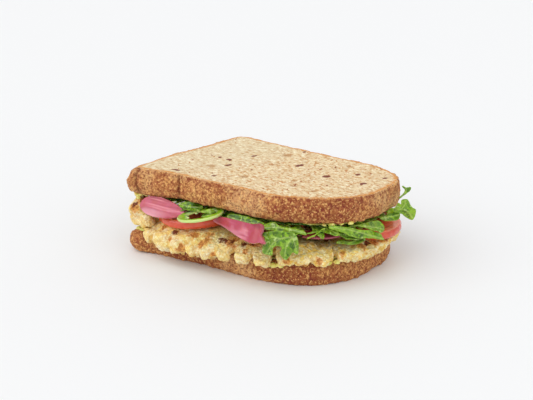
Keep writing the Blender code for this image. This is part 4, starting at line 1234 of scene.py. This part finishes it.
def leaf_sheet(name, outline, spacing):
    """A flat sheet of small triangles inside an outline. Its points are (along, down) in mm."""
    rim = closed_curve([Vector(p) for p in outline], spacing)
    low = [min(p[k] for p in rim) for k in (0, 1)]
    high = [max(p[k] for p in rim) for k in (0, 1)]
    points = [p.copy() for p in rim]
    border = KDTree(len(rim))
    for i, p in enumerate(rim):
        border.insert((p[0], p[1], 0.0), i)
    border.balance()
    rows = int((high[1] - low[1]) / (0.87 * spacing)) + 1
    columns = int((high[0] - low[0]) / spacing) + 1
    for j in range(rows):
        for i in range(columns):
            p = Vector((low[0] + (i + 0.5 * (j % 2)) * spacing, low[1] + j * 0.87 * spacing))
            if inside(p, rim) and border.find((p[0], p[1], 0.0))[2] > 0.55 * spacing:
                points.append(p)
    edges = [(i, (i + 1) % len(rim)) for i in range(len(rim))]
    found = geometry.delaunay_2d_cdt(points, edges, [], 1, 1e-4)
    mesh = bpy.data.meshes.new(name)
    mesh.from_pydata([(p[0] * MM, p[1] * MM, 0.0) for p in found[0]], [], found[2])
    made = link(name, mesh)
    to_rim = np.array([border.find((p[0], p[1], 0.0))[2] for p in found[0]])
    # edge: nearness to the rim, which the leaf finish paints paler, partly as painted light
    store(made, edge=ease(to_rim, 0.9, 0.15))
    return made


def vein_share(flat, veins):
    """How much each flat point lies on a vein and on a side vein, 0 to 1, and how far off the vein is."""
    best = np.full(len(flat), FAR)
    run = np.zeros(len(flat))
    for vein in veins:
        travelled = 0.0
        for a, b in zip(vein[:-1], vein[1:]):
            a, b = np.array(a, float), np.array(b, float)
            length = np.linalg.norm(b - a)
            t = np.clip(((flat - a) @ (b - a)) / length ** 2, 0.0, 1.0)
            distance = np.linalg.norm(flat - (a + t[:, None] * (b - a)), axis=1)
            closer = distance < best
            best = np.where(closer, distance, best)
            run = np.where(closer, travelled + t * length, run)
            travelled += length
    main = np.exp(-(best / VEIN_WIDTH) ** 2)
    phase = np.cos(2.0 * math.pi * (run - 0.9 * best) / SIDE_VEIN_SPACING)
    side = ease(phase, 0.9, 0.995) * ease(best, 4.5, 0.5)
    return main, side, best


def shape_leaf(name, outline, veins, to_space, tone, seed, spacing=LEAF_SPACING):
    """A thin leaf: its sheet is bent into place, with raised veins and a wavy edge."""
    made = leaf_sheet(name, outline, spacing)
    flat = points_of(made)[:, :2]
    main, side, away = vein_share(flat, veins)
    spread = np.column_stack([flat, np.full(len(flat), seed * 3.1)])
    wave = 0.95 * lumps(spread, 3.4, seed) * ease(away, 0.0, 1.6) + 0.4 * lumps(spread, 1.7, seed + 1)
    lift = wave + 0.16 * main - 0.16 * side
    move_points(made, np.array([to_space(u, v, w) for (u, v), w in zip(flat, lift)]))
    store(made, vein=np.clip(main + 0.12 * side, 0.0, 1.0), tone=tone)
    thicken(made, LEAF_THICKNESS)
    shade_smooth(made)
    return made


def on_plane(leaf):
    """Places a flat leaf's points: bowed away from the viewer towards its edges."""
    middle = Vector(leaf["middle"])
    along = Vector(leaf["along"]).normalized()
    down = Vector(leaf["down"])
    down = (down - along * down.dot(along)).normalized()
    face = down.cross(along)
    reach = max(abs(p[0]) for p in leaf["outline"])

    def to_space(u, v, w):
        return middle + along * u + down * v + face * (w - leaf["bow"] * (u / reach) ** 2)

    return to_space


def on_spine(spine, across, length, cup):
    """Places a curved leaf's points along its spine."""
    def to_space(u, v, w):
        s = min(1.0, max(0.0, u / length))
        here = curve_point(spine, s)
        ahead = (curve_point(spine, min(1.0, s + 0.02)) - curve_point(spine, max(0.0, s - 0.02))).normalized()
        wide = Vector(across)
        wide = (wide - ahead * wide.dot(ahead)).normalized()
        return here + wide * v + ahead.cross(wide) * (w + cup * v * v)

    return to_space


def spine_leaf(name, outline, spine, across, length, cup, tone, seed, spacing=LEAF_SPACING):
    """A leaf along a curved spine, with its one main vein along its middle."""
    veins = (((0.0, 0.0), (length * 0.95, 0.0)),)
    place = on_spine(spine, across, length, cup)
    return shape_leaf(name, outline, veins, place, tone, seed, spacing)


def leaf_finish(looks):
    made = Finish("rocket_leaf", 0.3, Specular_IOR_Level=0.4, Coat_Weight=0.2)
    vein, tone, edge = map(made.stored, ("vein", "tone", "edge"))
    shade = made.layered(
        rgb(34, 74, 0),
        (tone.between(0.1, 1.0), rgb(146, 184, 40)),
        (made.noise(2.6).between(0.42, 0.56) * 0.6, looks.leaf),
        # painted shade: dark patches in the folds
        (made.noise(3.4).between(0.54, 0.62) * 0.6, rgb(24, 60, 2)),
        # lighter patches, partly the leaf's own green and partly painted light
        (made.noise(2.0).between(0.53, 0.6) * 0.6, rgb(156, 206, 30)),
        # painted highlights: pale wet glints
        (made.noise(2.4, 2.0).between(0.58, 0.68) * 0.6, rgb(200, 224, 140)),
        (vein * 0.48, rgb(206, 226, 128)),
        # a paler edge, partly the leaf's own rim and partly painted light
        (edge * 0.25, rgb(170, 210, 40)),
    )
    made.set(Base_Color=shade, Normal=made.bump(made.noise(0.6), 0.15, 0.5))
    return made


def small_leaf(name, spot, outward, height, draw, seed):
    """One leaf of the layer: it starts inside, under the bread, and ends at the edge."""
    length, width = draw.uniform(11.0, 19.0), draw.uniform(4.0, 7.5)
    turn = draw.uniform(-1.1, 1.1)
    ahead = Matrix.Rotation(turn, 3, "Z") @ outward
    root = spot - ahead * length * 0.75
    tilt = draw.uniform(-0.8, 0.2)
    spine = []
    for share, lift in ((0.0, 0.0), (0.5, 0.1), (1.0, tilt - 0.6)):
        x, y, _ = root + ahead * length * share
        spine.append((x, y, height(x, y) + lift))
    across = ahead.cross(Vector((0.0, 0.0, 1.0))) + Vector((0.0, 0.0, draw.uniform(-0.35, 0.35)))
    outline = blade_outline(length, width, draw.choice(("plain", "plain", "lobed")), draw)
    cup, tone = draw.uniform(-0.05, 0.05), draw.uniform(0.15, 0.6)
    return spine_leaf(name, outline, spine, across, length, cup, tone, seed, SMALL_LEAF_SPACING)


def leaf_layer(looks, draw):
    """The layer under the upper slice: a core, and small leaves round its edge, placed by the draw."""
    core = merged_copy("rocket_bed", "rocket_layer", LAYER_VOXEL, 2)
    points, normals = points_of(core), normals_of(core)
    slope = plane_through(points[normals[:, 2] > 0.9])
    move = 0.25 * lumps(points, 3.0, 181) * ease(np.abs(normals[:, 2]), 0.9, 0.5)
    push(core, points, normals, move)
    # the core gets the darkest tone: painted shade under the upper slice
    store(core, vein=0.0, tone=0.0, edge=0.0)
    middle, half = box_of("rocket_bed")

    def height(x, y):
        return slope[0] * x + slope[1] * y + slope[2] - 0.9

    leaves = [core]
    for i in range(looks.small_leaves):
        turn = 2.0 * math.pi * (i + draw.uniform(-0.3, 0.3)) / looks.small_leaves
        c, s = math.cos(turn), math.sin(turn)
        square = (abs(c) ** LAYER_SQUARENESS + abs(s) ** LAYER_SQUARENESS) ** (-1.0 / LAYER_SQUARENESS)
        x = middle[0] + (half[0] + draw.uniform(-1.5, 2.2)) * square * c
        y = middle[1] + (half[1] + draw.uniform(-1.5, 2.2)) * square * s
        outward = Vector((c, 1.2 * s, 0.0)).normalized()
        leaves.append(small_leaf(f"leaf_{i}", Vector((x, y, 0.0)), outward, height, draw, 200 + i))
    return joined("rocket_layer", leaves)


class SANDWICH_OT_rocket(bpy.types.Operator):
    """Grow the rocket leaves"""

    bl_idname = "sandwich.rocket"
    bl_label = "Rocket"

    def execute(self, context):
        looks = context.scene.sandwich_looks
        finish = leaf_finish(looks)
        for i, (node, leaf) in enumerate(FLAT_LEAVES.items()):
            name = node.replace("rocket_", "green_")
            place = on_plane(leaf)
            made = shape_leaf(name, leaf["outline"], leaf["veins"], place, leaf["tone"], 300 + 2 * i)
            placed(made, finish, "rocket", node)
        for i, (node, (spine, across, width, kind, tone)) in enumerate(CURVED_LEAVES.items()):
            name = node.replace("rocket_", "green_")
            length = sum(math.dist(a, b) for a, b in zip(spine[:-1], spine[1:]))
            outline = blade_outline(length, width, kind, random.Random(node))
            made = spine_leaf(name, outline, spine, across, length, LEAF_CUP, tone, 340 + 2 * i)
            placed(made, finish, "rocket", node)
        layer = leaf_layer(looks, random.Random("rocket layer"))
        placed(layer, finish, "rocket", "rocket_bed")
        return {"FINISHED"}


# The stage

CAMERA_TURN = math.radians(35.35)
CAMERA_HEIGHT = math.radians(20.92)
CAMERA_DISTANCE = 808.56
CAMERA_TARGET = (0.0, 0.0, 25.0)
CAMERA_AIM = (-5.31, 2.64)  # moves the target right and up, so that the lens needs no shift
CAMERA_LENS = 101.31
FLOOR_SIZE = 6000.0

# Soft distant lights: the direction they come from, how wide they look, and their strength
LIGHTS = {
    "key_light": ((-0.5, -0.8, 1.0), math.radians(65.0), 1.15),
    "side_light": ((0.9, -0.4, 1.0), math.radians(75.0), 0.42),
    "back_light": ((0.3, 0.8, 1.0), math.radians(80.0), 0.25),
}
ROOM_LIGHT = 0.66


class SANDWICH_OT_stage(bpy.types.Operator):
    """Set the floor, the lights and the camera"""

    bl_idname = "sandwich.stage"
    bl_label = "Stage"

    def execute(self, context):
        scene = context.scene
        bpy.ops.object.select_all(action="DESELECT")
        bpy.ops.mesh.primitive_plane_add(size=FLOOR_SIZE * MM)
        floor = bpy.context.object
        floor.name = "pale_floor"
        finish = Finish("pale_floor", 0.6, Specular_IOR_Level=0.2)
        finish.set(Base_Color=rgb(241, 242, 243))
        floor.data.materials.append(finish.material)
        world = bpy.data.worlds.new("pale_room")
        scene.world = world
        world.use_nodes = True
        background = world.node_tree.nodes["Background"]
        background.inputs["Color"].default_value = (1.0, 1.0, 1.0, 1.0)
        background.inputs["Strength"].default_value = ROOM_LIGHT
        for name, (direction, width, strength) in LIGHTS.items():
            light = bpy.data.lights.new(name, "SUN")
            light.energy = strength
            light.angle = width
            lamp = link(name, light)
            lamp.location = Vector(direction)
            lamp.rotation_euler = Vector(direction).to_track_quat("Z", "Y").to_euler()
        right = Vector((math.cos(CAMERA_TURN), math.sin(CAMERA_TURN), 0.0))
        back = Vector((
            math.sin(CAMERA_TURN) * math.cos(CAMERA_HEIGHT),
            -math.cos(CAMERA_TURN) * math.cos(CAMERA_HEIGHT),
            math.sin(CAMERA_HEIGHT),
        ))
        up = back.cross(right)
        aim = Vector(CAMERA_TARGET) + right * CAMERA_AIM[0] + up * CAMERA_AIM[1]
        camera = bpy.data.cameras.new("photo_view")
        camera.lens = CAMERA_LENS
        camera.sensor_width = 36.0
        eye = link("photo_view", camera)
        place = Matrix.Translation((aim + back * CAMERA_DISTANCE) * MM)
        eye.matrix_world = place @ Matrix((right, up, back)).transposed().to_4x4()
        scene.camera = eye
        scene.view_settings.view_transform = "Standard"
        return {"FINISHED"}


class SANDWICH_PT_panel(bpy.types.Panel):
    """The sandwich's pieces and their looks"""

    bl_idname = "SANDWICH_PT_panel"
    bl_label = "Sandwich"
    bl_space_type = "VIEW_3D"
    bl_region_type = "UI"
    bl_category = "Sandwich"

    def draw(self, context):
        looks = context.scene.sandwich_looks
        for name in SandwichLooks.__annotations__:
            self.layout.prop(looks, name)
        for operator in OPERATORS:
            self.layout.operator(operator.bl_idname)


OPERATORS = (
    SANDWICH_OT_stage,
    SANDWICH_OT_bread,
    SANDWICH_OT_avocado,
    SANDWICH_OT_cauliflower,
    SANDWICH_OT_tomato,
    SANDWICH_OT_onion,
    SANDWICH_OT_chilli,
    SANDWICH_OT_rocket,
)


def register():
    for made in (SandwichLooks, *OPERATORS, SANDWICH_PT_panel):
        bpy.utils.register_class(made)
    bpy.types.Scene.sandwich_looks = PointerProperty(type=SandwichLooks)


def unregister():
    del bpy.types.Scene.sandwich_looks
    for made in reversed((SandwichLooks, *OPERATORS, SANDWICH_PT_panel)):
        bpy.utils.unregister_class(made)


def main():
    register()
    bpy.ops.sandwich.stage()
    bpy.ops.sandwich.bread()
    bpy.ops.sandwich.avocado()
    bpy.ops.sandwich.cauliflower()
    bpy.ops.sandwich.tomato()
    bpy.ops.sandwich.onion()
    bpy.ops.sandwich.chilli()
    bpy.ops.sandwich.rocket()
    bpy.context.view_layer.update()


if __name__ == "__main__":
    main()
